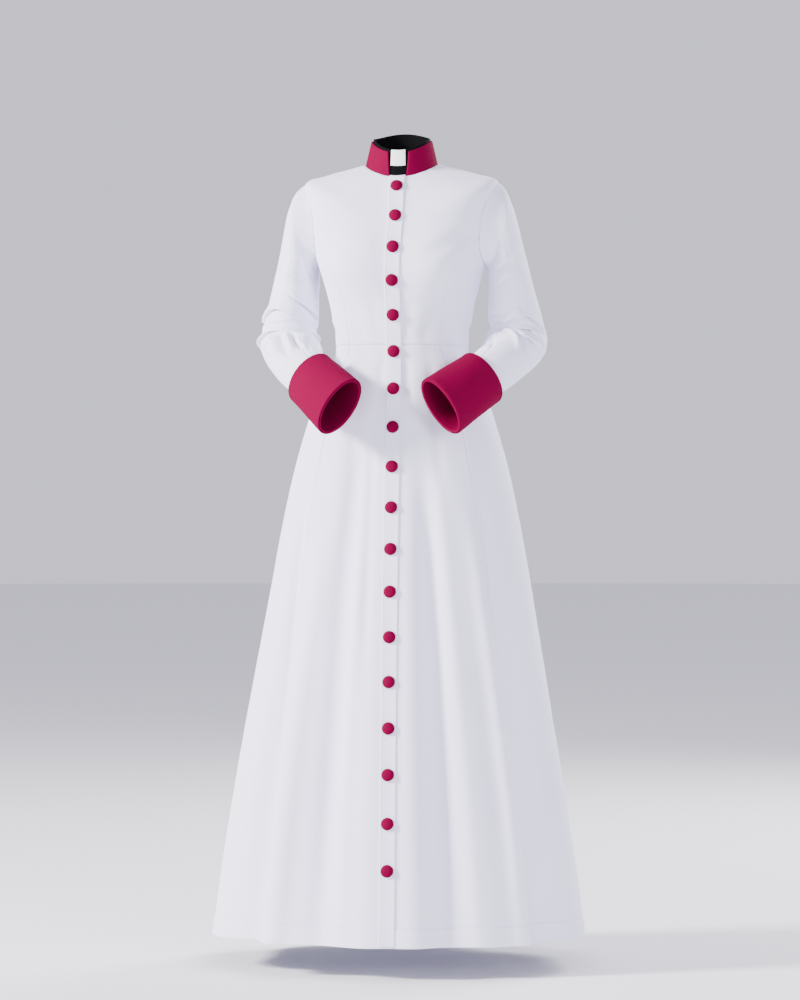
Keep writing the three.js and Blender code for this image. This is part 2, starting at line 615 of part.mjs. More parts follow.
/** Outer and inner loops of a sleeve, from the armhole's edge to its end inside the cuff, on the left. */
function sleeveLoops(hand) {
  const seam = armholeEdge().map(([angle, level]) => body(hand * angle, level)
    .addScaledVector(bodyNormal(hand * angle, level), ARMHOLE_RAISE)
    .multiply(new THREE.Vector3(hand, 1, 1)));
  const middle = seam.reduce((sum, p) => sum.add(p), new THREE.Vector3()).divideScalar(seam.length);
  const inward = (p, by) => p.clone().addScaledVector(middle.clone().sub(p).normalize(), by);
  const outer = [seam.map((p) => inward(p, SEAM))];
  const inner = [seam.map((p) => inward(p, SEAM + CLOTH))];
  const arm = [...SLEEVE, CUFF_EDGE, CUFF_MOUTH];
  SLEEVE.forEach((_, k) => {
    const frame = sectionFrame(arm, k);
    outer.push(sectionLoop(frame, 0, (turn) => elbowRise(k, turn)));
    inner.push(sectionLoop(frame, -CLOTH, (turn) => elbowRise(k, turn)));
  });
  for (const t of CUFF.stations) {
    outer.push(cuffLoop(t, sleeveInset(t)));
    inner.push(cuffLoop(t, sleeveInset(t) + CLOTH));
  }
  return { outer, inner };
}

/** One piece of a two-piece sleeve. */
function sleeveGeometry(cut, hand) {
  const { outer, inner } = sleeveLoops(hand);
  const [from, to] = SLEEVE_CUT[cut];
  const columns = Array.from({ length: to - from + 1 }, (_, k) => (from + k + RING) % RING);
  const grid = (loops) => insetEdges(loops.map((loop) => columns.map((i) => loop[i].clone())), SEAM);
  return slab(grid(outer), grid(inner), false);
}

/** Cuff of the wearer's left: its outer layer, from the edge near the elbow to the mouth. */
function cuffGeometry() {
  const face = CUFF.stations.concat(1).map((t) => cuffLoop(t, 0));
  const back = CUFF.stations.concat(1).toReversed().map((t) => cuffLoop(t, CUFF.wall));
  return loopedWall([...face, ...back], false);
}

/** The cuff's facing: it lines the sleeve's end and meets the outer layer at the mouth. */
function facingGeometry() {
  const { stations, wall, facingWall, facingFrom, pastEnd } = CUFF;
  const end = stations.at(-1);
  const clear = end + pastEnd;
  const behind = (t) => sleeveInset(Math.min(t, end)) + CLOTH + SEAM;
  const lined = stations.slice(facingFrom);
  const alongSleeve = lined.map((t) => cuffLoop(t, behind(t)));
  const alongCuff = [cuffLoop(clear, behind(end)), cuffLoop(clear, wall + SEAM), cuffLoop(1, wall + SEAM)];
  const face = [1, ...lined.toReversed()].map((t) => cuffLoop(t, behind(t) + facingWall));
  return loopedWall([...alongSleeve, ...alongCuff, ...face], false);
}

/** The mirror image of a geometry, for the wearer's right. */
function mirrorImage(geometry) {
  const twin = geometry.clone();
  twin.scale(-1, 1, 1);
  const index = Array.from(twin.index.array);
  for (let i = 0; i < index.length; i += 3) [index[i + 1], index[i + 2]] = [index[i + 2], index[i + 1]];
  twin.setIndex(index);
  twin.computeVertexNormals();
  return twin;
}
for (const { side, hand } of HANDS) {
  const handed = (geometry) => (hand > 0 ? geometry : mirrorImage(geometry));
  for (const cut of Object.keys(SLEEVE_CUT)) {
    piece(`sleeve_${cut}_${side}`, handed(sleeveGeometry(cut, hand)), 'white');
  }
  piece(`cuff_${side}`, handed(cuffGeometry()), 'magenta');
  piece(`cuff_facing_${side}`, handed(facingGeometry()), 'magenta');
}

export default robe;
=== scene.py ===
"""Dresses the clergy robe: white princess-cut cloth, magenta collar, cuffs and covered buttons.

Lengths in the tables are millimetres, in the model's own frame: +Z up, the front faces -Y, +X is the
wearer's left, and the origin is the middle of the neck opening. Meshes are made in metres.
"""

import logging
import math
from dataclasses import dataclass, field
from enum import Enum
from functools import partial
from typing import Callable, Sequence

import bpy
import numpy as np
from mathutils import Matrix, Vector

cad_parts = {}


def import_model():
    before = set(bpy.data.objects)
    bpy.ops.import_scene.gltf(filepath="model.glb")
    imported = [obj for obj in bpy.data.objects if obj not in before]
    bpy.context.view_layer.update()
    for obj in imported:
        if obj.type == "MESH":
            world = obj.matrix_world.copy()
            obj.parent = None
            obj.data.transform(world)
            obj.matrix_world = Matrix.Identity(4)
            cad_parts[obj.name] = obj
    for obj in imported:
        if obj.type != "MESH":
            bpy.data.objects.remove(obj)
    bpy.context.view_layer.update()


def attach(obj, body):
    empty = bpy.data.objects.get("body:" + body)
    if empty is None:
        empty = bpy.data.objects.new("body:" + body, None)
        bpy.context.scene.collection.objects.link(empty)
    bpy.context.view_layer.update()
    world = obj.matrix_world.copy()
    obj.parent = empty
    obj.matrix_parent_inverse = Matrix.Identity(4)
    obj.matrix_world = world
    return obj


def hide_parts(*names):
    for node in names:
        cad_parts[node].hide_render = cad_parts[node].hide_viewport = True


LOG = logging.getLogger("robe")
MM = 0.001
TINY = 1e-9


class Hand(Enum):
    """The wearer's side that a piece belongs to."""

    LEFT = 1
    RIGHT = -1

    @property
    def suffix(self) -> str:
        """The end of the piece's name."""
        return self.name.lower()


# ---------------------------------------------------------------------------------------------------
# Finishes
# ---------------------------------------------------------------------------------------------------


def linear(code: str, alpha: float = 1.0) -> tuple[float, float, float, float]:
    """Converts a colour to linear light.

    Args:
        code: sRGB colour as "#RRGGBB".
        alpha: opacity.

    Returns:
        The colour as linear red, green, blue and alpha.
    """
    parts = [int(code[i : i + 2], 16) / 255 for i in (1, 3, 5)]
    lit = [p / 12.92 if p <= 0.04045 else ((p + 0.055) / 1.055) ** 2.4 for p in parts]
    return (lit[0], lit[1], lit[2], alpha)


def add_node(
    tree: bpy.types.NodeTree, kind: str, inputs: dict | None = None, **settings: object
) -> bpy.types.Node:
    """Adds one shader node.

    Args:
        tree: the material's node tree.
        kind: the node's type name without "ShaderNode".
        inputs: socket name or index to a value, or to an output socket to link from.
        **settings: properties of the node itself.

    Returns:
        The new node.
    """
    node = tree.nodes.new(f"ShaderNode{kind}")
    for key, value in settings.items():
        setattr(node, key, value)
    for key, value in (inputs or {}).items():
        if isinstance(value, bpy.types.NodeSocket):
            tree.links.new(value, node.inputs[key])
        else:
            node.inputs[key].default_value = value
    return node


def new_material(name: str) -> tuple[bpy.types.Material, bpy.types.NodeTree, bpy.types.Node]:
    """Makes an empty node material.

    Args:
        name: the material's name.

    Returns:
        The material, its node tree and its output node.
    """
    material = bpy.data.materials.new(name)
    material.use_nodes = True
    tree = material.node_tree
    tree.nodes.clear()
    return material, tree, add_node(tree, "OutputMaterial")


# A wave texture of scale 1 repeats every 2 pi / 20 metres.
WAVE_TURN = 2 * math.pi / 20


def per_metre(size: float) -> float:
    """The scale of a noise whose grains have a size.

    Args:
        size: of a grain, mm.

    Returns:
        Grains to the metre.
    """
    return 1 / (size * MM)


@dataclass(frozen=True)
class Suiting:
    """Plain-weave suiting: a fine weave, soft slubs and a nap that catches light at grazing angles.

    Attributes:
        name: the material's name.
        face: colour of the cloth in the light.
        deep: colour between the threads and in the slubs' hollows.
        roughness: of the threads.
        sheen: strength of the nap.
        sheen_tint: colour of the nap.
        thread: spacing of the threads, mm, a little wider than the real one so that it shows.
        relief: height of the weave, mm.
        gloss: strength of the threads' own reflection.
        slub: length and thickness of a swollen thread, mm.
        cloud: width of the unevenness of tone, mm.
    """

    name: str
    face: str
    deep: str
    roughness: float
    sheen: float
    sheen_tint: str
    thread: float = 0.6
    relief: float = 0.1
    gloss: float = 0.2
    slub: tuple[float, float] = (11.11, 2.381)
    cloud: float = 142.86

    def material(self) -> bpy.types.Material:
        """Builds the node material.

        Returns:
            The cloth's material, its weave laid along the UV map in metres.
        """
        material, tree, output = new_material(self.name)
        place = add_node(tree, "TexCoord").outputs["UV"]
        # Two crossed bands of thread give the eye the fine grain that breaks up a highlight.
        thread = {
            "Vector": place,
            "Scale": WAVE_TURN * per_metre(self.thread),
            "Distortion": 0.6,
            "Detail": 1.0,
            "Detail Scale": 3.0,
        }
        bands = [
            add_node(tree, "TexWave", thread, bands_direction=direction).outputs["Fac"]
            for direction in ("X", "Y")
        ]
        weave = add_node(tree, "Math", {0: bands[0], 1: bands[1]}, operation="MULTIPLY")
        # Slubs: threads that swell now and then, which give faint streaks across the cloth.
        long, thick = (per_metre(size) for size in self.slub)
        stretch = add_node(tree, "Mapping", {"Vector": place, "Scale": (long, thick, 1.0)})
        slub = add_node(tree, "TexNoise", {"Vector": stretch.outputs[0], "Scale": 1.0, "Detail": 3.0})
        # Wide, faint unevenness of tone from pressing and handling keeps large panels from looking painted.
        cloud = add_node(tree, "TexNoise", {"Vector": place, "Scale": per_metre(self.cloud), "Detail": 2.0})
        tone = add_node(tree, "Math", {0: slub.outputs["Fac"], 1: cloud.outputs["Fac"]}, operation="ADD")
        share = add_node(tree, "MapRange", {"Value": tone.outputs[0], 1: 0.7, 2: 1.3, 3: 0.0, 4: 0.35})
        mix = {0: share.outputs[0], 6: linear(self.face), 7: linear(self.deep)}
        colour = add_node(tree, "Mix", mix, data_type="RGBA")
        height = add_node(tree, "Math", {0: weave.outputs[0], 1: slub.outputs["Fac"]}, operation="ADD")
        relief = {"Height": height.outputs[0], "Strength": 0.55, "Distance": self.relief * MM}
        bump = add_node(tree, "Bump", relief)
        # The nap: worsted fibres stand a little proud and whiten the cloth where it turns away.
        shader = add_node(
            tree,
            "BsdfPrincipled",
            {
                "Base Color": colour.outputs[2],
                "Roughness": self.roughness,
                "Specular IOR Level": self.gloss,
                "Sheen Weight": self.sheen,
                "Sheen Roughness": 0.45,
                "Sheen Tint": linear(self.sheen_tint),
                "Normal": bump.outputs[0],
            },
        )
        tree.links.new(shader.outputs[0], output.inputs["Surface"])
        return material


@dataclass(frozen=True)
class Starched:
    """Starched linen for the collar's tab: close, smooth, with a low gloss.

    Attributes:
        name: the material's name.
        face: its colour.
        grain: size of the pressed threads, mm, drawn coarse enough to show.
    """

    name: str
    face: str
    grain: float = 1.111

    def material(self) -> bpy.types.Material:
        """Builds the node material.

        Returns:
            The tab's material.
        """
        material, tree, output = new_material(self.name)
        place = add_node(tree, "TexCoord").outputs["UV"]
        # Pressed threads under starch: almost flat, so the tab shines a little where the cloth doesn't.
        grain = add_node(tree, "TexNoise", {"Vector": place, "Scale": per_metre(self.grain), "Detail": 2.0})
        relief = {"Height": grain.outputs["Fac"], "Strength": 0.3, "Distance": 0.06 * MM}
        bump = add_node(tree, "Bump", relief)
        shader = add_node(
            tree,
            "BsdfPrincipled",
            {
                "Base Color": linear(self.face),
                "Roughness": 0.42,
                "Specular IOR Level": 0.4,
                "Normal": bump.outputs[0],
            },
        )
        tree.links.new(shader.outputs[0], output.inputs["Surface"])
        return material


@dataclass(frozen=True)
class Thread:
    """Sewing thread: twisted, a little glossier than the cloth.

    Attributes:
        name: the material's name.
        face: its colour.
        twist: length of one turn of the ply, mm.
    """

    name: str
    face: str
    twist: float = 0.4

    def material(self) -> bpy.types.Material:
        """Builds the node material.

        Returns:
            The thread's material.
        """
        material, tree, output = new_material(self.name)
        place = add_node(tree, "TexCoord").outputs["Object"]
        # The ply's turns break the thread's shine into points.
        twist = add_node(tree, "TexNoise", {"Vector": place, "Scale": per_metre(self.twist)})
        relief = {"Height": twist.outputs["Fac"], "Strength": 0.4, "Distance": 0.05 * MM}
        bump = add_node(tree, "Bump", relief)
        shader = add_node(
            tree,
            "BsdfPrincipled",
            {"Base Color": linear(self.face), "Roughness": 0.5, "Normal": bump.outputs[0]},
        )
        tree.links.new(shader.outputs[0], output.inputs["Surface"])
        return material


@dataclass(frozen=True)
class Studio:
    """Matt painted studio floor, pale and even.

    Attributes:
        name: the material's name.
        face: its colour.
        grain: size of the roller's marks, mm.
    """

    name: str
    face: str
    grain: float = 16.67

    def material(self) -> bpy.types.Material:
        """Builds the node material.

        Returns:
            The floor's material.
        """
        material, tree, output = new_material(self.name)
        place = add_node(tree, "TexCoord").outputs["Object"]
        # A roller's marks, too shallow to see but enough to keep the floor from mirroring.
        grain = add_node(tree, "TexNoise", {"Vector": place, "Scale": per_metre(self.grain), "Detail": 3.0})
        bump = add_node(tree, "Bump", {"Height": grain.outputs["Fac"], "Strength": 0.08, "Distance": MM})
        shader = add_node(
            tree,
            "BsdfPrincipled",
            {"Base Color": linear(self.face), "Roughness": 0.75, "Normal": bump.outputs[0]},
        )
        tree.links.new(shader.outputs[0], output.inputs["Surface"])
        return material


Finish = Suiting | Starched | Thread | Studio

# Plain worsted suiting. The dyed pieces are matt, so that they keep their depth in the light.
WHITE = Suiting("white_suiting", "#ECEAFC", "#DFDDF3", 0.85, 0.06, "#FFFFFF")
MAGENTA = Suiting("magenta_suiting", "#6E0030", "#520024", 0.85, 0.02, "#C8185E", gloss=0.03)
BLACK = Suiting("black_suiting", "#0A0A0C", "#050507", 0.85, 0.02, "#55556A", gloss=0.06)
TAB = Starched("starched_tab", "#F4F3EF")
WHITE_THREAD = Thread("white_thread", "#DAD7EA")
FLOOR = Studio("studio_floor", "#E7E7EC")


@dataclass
class Wardrobe:
    """Makes each finish's material once.

    Attributes:
        made: material by finish name.
    """

    made: dict[str, bpy.types.Material] = field(default_factory=dict)

    def of(self, finish: Finish) -> bpy.types.Material:
        """Returns a finish's material.

        Args:
            finish: one of the finishes above.

        Returns:
            Its material, made the first time it is asked for.
        """
        if finish.name not in self.made:
            self.made[finish.name] = finish.material()
        return self.made[finish.name]


WARDROBE = Wardrobe()

# ---------------------------------------------------------------------------------------------------
# Curves through tables
# ---------------------------------------------------------------------------------------------------


def along(table: Sequence, column: str, row: np.ndarray) -> np.ndarray:
    """Reads a column of a table at fractional rows, on a Catmull-Rom curve.

    Args:
        table: rows with named fields.
        column: the field to read.
        row: fractional row numbers.

    Returns:
        The values, shaped as row.
    """
    values = np.array([getattr(entry, column) for entry in table], float)
    first = 2 * values[0] - values[1]
    last = 2 * values[-1] - values[-2]
    values = np.concatenate([[first], values, [last]])
    at = np.clip(row, 0, len(table) - 1)
    i = np.minimum(np.floor(at).astype(int), len(table) - 2)
    t = at - i
    p0, p1, p2, p3 = (values[i + k] for k in range(4))
    return 0.5 * (
        2 * p1
        + (p2 - p0) * t
        + (2 * p0 - 5 * p1 + 4 * p2 - p3) * t * t
        + (3 * p1 - p0 - 3 * p2 + p3) * t**3
    )


def bell(off: np.ndarray, width: float | np.ndarray) -> np.ndarray:
    """A soft bump, 1 in its middle.

    Args:
        off: distances from its middle.
        width: the distance at which it has fallen to about a third.

    Returns:
        Its height at each distance.
    """
    return np.exp(-((off / width) ** 2))


def lengths(points: np.ndarray, axis: int = 0) -> np.ndarray:
    """Distances run along one axis of a line or a grid of points.

    Args:
        points: shaped (..., 3).
        axis: the axis to run along.

    Returns:
        The distance from the first point, shaped as points without its last axis.
    """
    first = np.take(points, [0], axis=axis)
    steps = np.diff(points, axis=axis, prepend=first)
    return np.cumsum(np.linalg.norm(steps, axis=-1), axis=axis)


def ring_lengths(ring: np.ndarray) -> np.ndarray:
    """Distances run along closed rows of points.

    Args:
        ring: shaped (rows, columns, 3), each last column followed by the first.

    Returns:
        The distance of each column from the last one, shaped (rows, columns).
    """
    return np.cumsum(np.linalg.norm(np.diff(ring, axis=1, prepend=ring[:, -1:]), axis=-1), axis=1)


def smooth(t: np.ndarray) -> np.ndarray:
    """Eases a value from 0 to 1.

    Args:
        t: any numbers; below 0 gives 0 and above 1 gives 1.

    Returns:
        The eased values.
    """
    t = np.clip(t, 0.0, 1.0)
    return t * t * (3 - 2 * t)


def through(rings: np.ndarray, steps: np.ndarray) -> np.ndarray:
    """Runs a smooth curve through unevenly spaced points along the first axis.

    Args:
        rings: control points, shaped (controls, ..., 3).
        steps: fractional control numbers to sample.

    Returns:
        The samples, shaped (samples, ..., 3).
    """
    gap = np.linalg.norm(np.diff(rings, axis=0), axis=-1)
    gap = gap.reshape(len(gap), -1).mean(axis=1)
    shape = (-1,) + (1,) * (rings.ndim - 1)
    slope = np.diff(rings, axis=0) / gap.reshape(shape)
    before, after = gap[:-1].reshape(shape), gap[1:].reshape(shape)
    tangent = np.concatenate(
        [slope[:1], (slope[1:] * before + slope[:-1] * after) / (before + after), slope[-1:]]
    )
    i = np.clip(np.floor(steps).astype(int), 0, len(rings) - 2)
    t = (steps - i).reshape(shape)
    h = gap[i].reshape(shape)
    return (
        (2 * t**3 - 3 * t**2 + 1) * rings[i]
        + (t**3 - 2 * t**2 + t) * h * tangent[i]
        + (3 * t**2 - 2 * t**3) * rings[i + 1]
        + (t**3 - t**2) * h * tangent[i + 1]
    )


def grid_normals(points: np.ndarray, wrap: bool = False) -> np.ndarray:
    """Finds the unit normals of a grid of points.

    Args:
        points: shaped (rows, columns, 3).
        wrap: whether the last column is followed by the first.

    Returns:
        Normals: down the rows crossed with along the columns.
    """
    down = np.gradient(points, axis=0)
    if wrap:
        along_row = np.roll(points, -1, axis=1) - np.roll(points, 1, axis=1)
    else:
        along_row = np.gradient(points, axis=1)
    normal = np.cross(down, along_row)
    length = np.linalg.norm(normal, axis=-1, keepdims=True)
    return normal / np.maximum(length, TINY)


def unevenness(u: np.ndarray, v: np.ndarray, seed: float) -> np.ndarray:
    """A smooth, even-handed wander between about -1 and 1, the same on every run.

    Args:
        u: one coordinate, radians of its slowest wave.
        v: the other.
        seed: shifts the pattern.

    Returns:
        The wander at each place.
    """
    return (
        np.sin(1.00 * u + 0.70 * v + seed)
        + 0.8 * np.sin(-0.63 * u + 1.31 * v + 2.1 * seed)
        + 0.6 * np.sin(1.73 * u - 0.49 * v + 3.7 * seed)
        + 0.5 * np.sin(2.31 * u + 1.93 * v + 5.3 * seed)
    ) / 2.4


# ---------------------------------------------------------------------------------------------------
# The body of the robe
# ---------------------------------------------------------------------------------------------------


@dataclass(frozen=True)
class Level:
    """One ring round the body of the robe.

    Attributes:
        name: where it is.
        front, side, back: its heights.
        wide: half its width.
        fore, aft: its depths to the front and back.
        square: 2 for an ellipse, more for squarer.
        twist: degrees that the cloth is turned round the wearer, to the left.
    """

    name: str
    front: float
    side: float
    back: float
    wide: float
    fore: float
    aft: float
    square: float
    twist: float


LEVELS = (
    Level("neck", -25, 0, 12, 64, 62, 50, 2.0, 0),
    Level("collarbone", -47, -9, -2, 100, 77, 72, 2.1, 0),
    Level("shoulder", -78, -19, -25, 137, 91, 88, 2.3, 0),
    Level("shoulder_tip", -110, -32, -58, 171, 101, 96, 2.5, 0),
    Level("across_chest", -135, -78, -100, 168, 106, 99, 2.6, -1),
    Level("armhole_low", -156, -128, -138, 160, 109, 99, 2.6, -1.5),
    Level("underarm", -178, -176, -178, 148, 112, 97, 2.5, -2),
    Level("bust", -205, -205, -205, 139, 110, 94, 2.4, -2.2),
    Level("ribs", -256, -256, -256, 126, 98, 86, 2.3, -2.4),
    Level("waist", -322, -322, -322, 117, 88, 78, 2.2, -2.4),
    Level("high_hip", -356, -356, -356, 126, 91, 90, 2.2, -2.2),
    Level("hip", -400, -400, -400, 146, 96, 107, 2.2, -1.8),
    Level("low_hip", -455, -455, -455, 166, 103, 125, 2.15, -1.4),
    Level("thigh", -560, -560, -560, 195, 124, 150, 2.1, -0.8),
    Level("knee_high", -700, -700, -700, 224, 152, 178, 2.05, 0),
    Level("knee", -860, -860, -860, 254, 184, 208, 2.0, 0.8),
    Level("calf", -1030, -1030, -1030, 284, 217, 238, 2.0, 1.5),
    Level("shin", -1200, -1200, -1200, 311, 248, 266, 2.0, 2.1),
    Level("hem", -1355, -1355, -1355, 333, 273, 288, 2.0, 2.5),
)
LEVEL_NAMES = [level.name for level in LEVELS]
PRINCESS_START = LEVEL_NAMES.index("armhole_low")
UNDERARM = LEVEL_NAMES.index("underarm")
WAIST = LEVEL_NAMES.index("waist")
HEM = LEVEL_NAMES.index("hem")
# How quickly a level leaves its height at the side, and how far the hem hangs over to the left, mm;
# below 0 is to the right.
SHOULDER_ROUNDING = 1.6
HEM_SWING = -5.0


@dataclass(frozen=True)
class Fullness:
    """Where the princess cut gives its fullness at the bust.

    Attributes:
        angle, spread: its middle and half its width, degrees from the centre front.
        height, drop: its middle and half its height.
        depth: how far it stands out.
    """

    angle: float = 36
    spread: float = 19
    height: float = -182
    drop: float = 52
    depth: float = 13


@dataclass(frozen=True)
class Fold:
    """A fold that opens down the skirt.

    Attributes:
        top, hem: its angle at the waist and at the hem.
        spread: half its width in degrees.
        rise: how far it pushes the hem out, or in where it is below 0.
        start: the height at which it begins.
    """

    top: float
    hem: float
    spread: float
    rise: float
    start: float


# The skirt's large folds, as the solids have them.
FOLDS = (
    Fold(-8, -8, 6, 5, -420),
    Fold(-30, -26, 9, -17, -380),
    Fold(-52, -44, 5, 13, -560),
    Fold(-64, -54, 6, -18, -480),
    Fold(-76, -71, 8, 9, -520),
    Fold(-95, -93, 9, -13, -500),
    Fold(-116, -114, 8, 11, -480),
    Fold(-134, -134, 8, -15, -450),
    Fold(-152, -153, 8, 12, -500),
    Fold(-168, -169, 6, -12, -430),
    Fold(11, 10, 6, 6, -420),
    Fold(26, 22, 8, -15, -400),
    Fold(42, 37, 7, 7, -560),
    Fold(53, 48.5, 4.5, 13, -600),
    Fold(64, 57.5, 6, -19, -470),
    Fold(78, 74, 8, 9, -520),
    Fold(96, 95, 9, -12, -500),
    Fold(117, 117, 9, 12, -470),
    Fold(139, 138, 8, -14, -460),
    Fold(158, 158, 8, 12, -520),
    Fold(176, 177, 6, -10, -440),
)
FOLD_GROWTH = 1.15


@dataclass(frozen=True)
class SeamStop:
    """The angle of the front and back princess seams at a level."""

    level: float
    front: float
    back: float


SEAM_STOPS = (
    SeamStop(PRINCESS_START, 68, 113),
    SeamStop(5.5, 56, 124),
    SeamStop(UNDERARM, 50, 130),
    SeamStop(7, 47, 134),
    SeamStop(8, 48, 136),
    SeamStop(WAIST, 50, 138),
    SeamStop(10, 54, 137),
    SeamStop(12, 57, 136),
    SeamStop(14, 56, 136),
    SeamStop(16, 52, 136),
    SeamStop(HEM, 48, 136),
)
# The armhole's edge, from the shoulder tip down to the princess seams and on under the arm.
ARMHOLE_LEVELS = (3, 3.1, 3.32, 3.68, 4.1, 4.55, 5)
ARMHOLE_ANGLES = {"front": (90, 82, 75, 70, 67.5, 67, 68), "back": (90, 98, 105, 110, 112.5, 113.5, 113)}
UNDERARM_LEVELS = (5, 5.3, 5.56, 5.76, 5.9, 5.97, 6)
UNDERARM_TURNS = (0, 0.08, 0.2, 0.37, 0.58, 0.8, 1)


def seam_angle(level: np.ndarray, side: str) -> np.ndarray:
    """The angle of a princess seam.

    Args:
        level: fractional levels from the armhole down.
        side: "front" or "back".

    Returns:
        Degrees from the centre front.
    """
    return np.interp(level, [s.level for s in SEAM_STOPS], [getattr(s, side) for s in SEAM_STOPS])


@dataclass(frozen=True)
class Crease:
    """A soft trough or ridge drawn along a line.

    Attributes:
        path: places along it: degrees round the garment, and mm up the body or rows down a sleeve.
        width: half its width, mm.
        rise: its height at the middle, mm; a trough is below 0.
        lip: height of the cloth that laps over it from above, mm.
    """

    path: tuple[tuple[float, float], ...]
    width: float
    rise: float
    lip: float = 0.0

    STEPS = 8
    REACH = 3.5
    OVERHANG = 1.5
    FADE = 0.28
    FADE_START = 0.12
    LIP_BACK = 1.7
    LIP_WIDTH = 1.3

    def shape(self, turn: np.ndarray, run: np.ndarray, per_turn: np.ndarray, per_run: float) -> np.ndarray:
        """Its height and overhang at each place, fading at both ends.

        Args:
            turn: degrees round the garment.
            run: the other coordinate, in the path's own unit.
            per_turn: mm for each degree at each place.
            per_run: mm for each unit of run, below 0 where the unit points up.

        Returns:
            Millimetres outward, and millimetres that the lip is pushed down over the trough.
        """
        spans = len(self.path) - 1
        line = through(np.array(self.path), np.linspace(0, spans, self.STEPS * spans + 1))
        centre = line[:, 0].mean()
        line = line - np.array([centre, 0.0])
        around = (turn - centre + 180) % 360 - 180
        margin = self.REACH * (self.width + abs(self.lip))
        low, high = line.min(axis=0), line.max(axis=0)
        near = (around * per_turn > low[0] * per_turn - margin) & (run > low[1] - margin / abs(per_run))
        near &= (around * per_turn < high[0] * per_turn + margin) & (run < high[1] + margin / abs(per_run))
        made = np.zeros((2,) + around.shape)
        if not near.any():
            return made
        scale = np.stack([per_turn[near], np.full(near.sum(), per_run)], -1)[:, None]
        place = np.stack([around[near], run[near]], -1)[:, None] * scale
        start, end = line[None, :-1] * scale, line[None, 1:] * scale
        way = end - start
        t = np.clip(((place - start) * way).sum(-1) / np.maximum((way**2).sum(-1), TINY), 0, 1)
        gap = place - start - way * t[..., None]
        distance = np.linalg.norm(gap, axis=-1)
        nearest = np.argmin(distance, axis=1)
        pick = np.arange(len(nearest))
        off = distance[pick, nearest]
        share = (nearest + t[pick, nearest]) / (len(line) - 1)
        fade = smooth(np.minimum(share, 1 - share) / self.FADE + self.FADE_START)
        signed = off * np.clip(gap[pick, nearest, 1] / np.maximum(off, TINY) * 2, -1, 1)
        crest = bell(signed / self.width + self.LIP_BACK, self.LIP_WIDTH) * fade
        made[0][near] = self.rise * bell(off, self.width) * fade + self.lip * crest
        made[1][near] = self.OVERHANG * self.lip * crest
        return made


# Pulls and puckers of the body, never quite alike on its two sides: the skirt's long folds first.
BODY_CREASES = (
    Crease(((-29, -440), (-30, -620), (-28, -1000), (-26.5, -1420)), 17, -9.0),
    Crease(((26, -480), (25, -800), (22.5, -1100), (22, -1420)), 17, -9.0),
    Crease(((-20, -430), (-16, -640), (-13, -900)), 9, -3.5),
    Crease(((62, -540), (57, -900), (53, -1420)), 8, -7.0),
    Crease(((-62, -580), (-56, -960), (-51, -1420)), 8, -7.0),
    Crease(((-44, -620), (-43, -1000), (-41, -1420)), 16, 6.0),
    Crease(((-21, -600), (-19, -1000), (-17, -1420)), 13, 4.0),
    Crease(((52, -580), (49, -1000), (46, -1420)), 14, 5.5),
    Crease(((34, -500), (33, -1000), (32, -1420)), 13, 3.5),
    Crease(((64, -118), (44, -146), (22, -172)), 12, -3.2, 1.0),
    Crease(((-64, -116), (-46, -140), (-24, -170)), 13, -2.8, 0.8),
    Crease(((70, -150), (58, -172), (44, -200)), 9, -1.8),
    Crease(((-70, -146), (-60, -170), (-47, -196)), 9, -1.8),
    Crease(((50, -236), (38, -280), (30, -318)), 10, -1.8),
    Crease(((-52, -232), (-40, -276), (-33, -316)), 11, -1.9),
    Crease(((18, -236), (15, -318)), 9, -1.2),
    Crease(((-20, -230), (-17, -316)), 10, -1.3),
    Crease(((120, -116), (134, -160), (150, -204)), 15, -2.8, 0.8),
    Crease(((-120, -114), (-136, -158), (-153, -206)), 15, -2.8, 0.8),
    Crease(((140, -244), (133, -280), (128, -318)), 12, -2.0),
    Crease(((-142, -240), (-135, -278), (-127, -318)), 12, -2.0),
    Crease(((168, -284), (144, -300), (118, -304)), 9, -2.4, 1.0),
    Crease(((-166, -280), (-146, -296), (-120, -302)), 9, -2.2, 1.0),
    Crease(((70, -300), (90, -292), (110, -297)), 8, -1.8, 0.8),
    Crease(((-70, -298), (-90, -289), (-108, -295)), 8, -1.8, 0.8),
    Crease(((-37, -336), (-36, -440), (-35, -540)), 10, -2.4),
    Crease(((38, -336), (38, -440), (37, -580)), 10, -2.6),
    Crease(((-12, -338), (-14, -400), (-17, -480)), 8, -2.2),
    Crease(((14, -338), (16, -400), (20, -500)), 8, -2.2),
    Crease(((66, -620), (66, -900), (64, -1240)), 15, 3.6),
    Crease(((-62, -680), (-63, -960), (-61, -1280)), 15, 3.2),
    Crease(((84, -740), (85, -1000), (84, -1420)), 14, -4.6),
    Crease(((-83, -680), (-84, -980), (-82, -1420)), 14, -4.4),
    Crease(((106, -580), (107, -900), (106, -1260)), 16, 4.2),
    Crease(((-105, -620), (-106, -960), (-103, -1300)), 16, 4.2),
    Crease(((128, -420), (129, -800), (127, -1420)), 15, -5.0),
    Crease(((-126, -430), (-125, -820), (-124, -1420)), 15, -4.8),
    Crease(((148, -440), (149, -800), (148, -1240)), 14, 4.0),
    Crease(((-144, -520), (-145, -900), (-143, -1300)), 14, 4.2),
    Crease(((168, -380), (169, -800), (168, -1420)), 15, -5.0),
    Crease(((-160, -400), (-162, -800), (-160, -1380)), 15, -4.6),
)


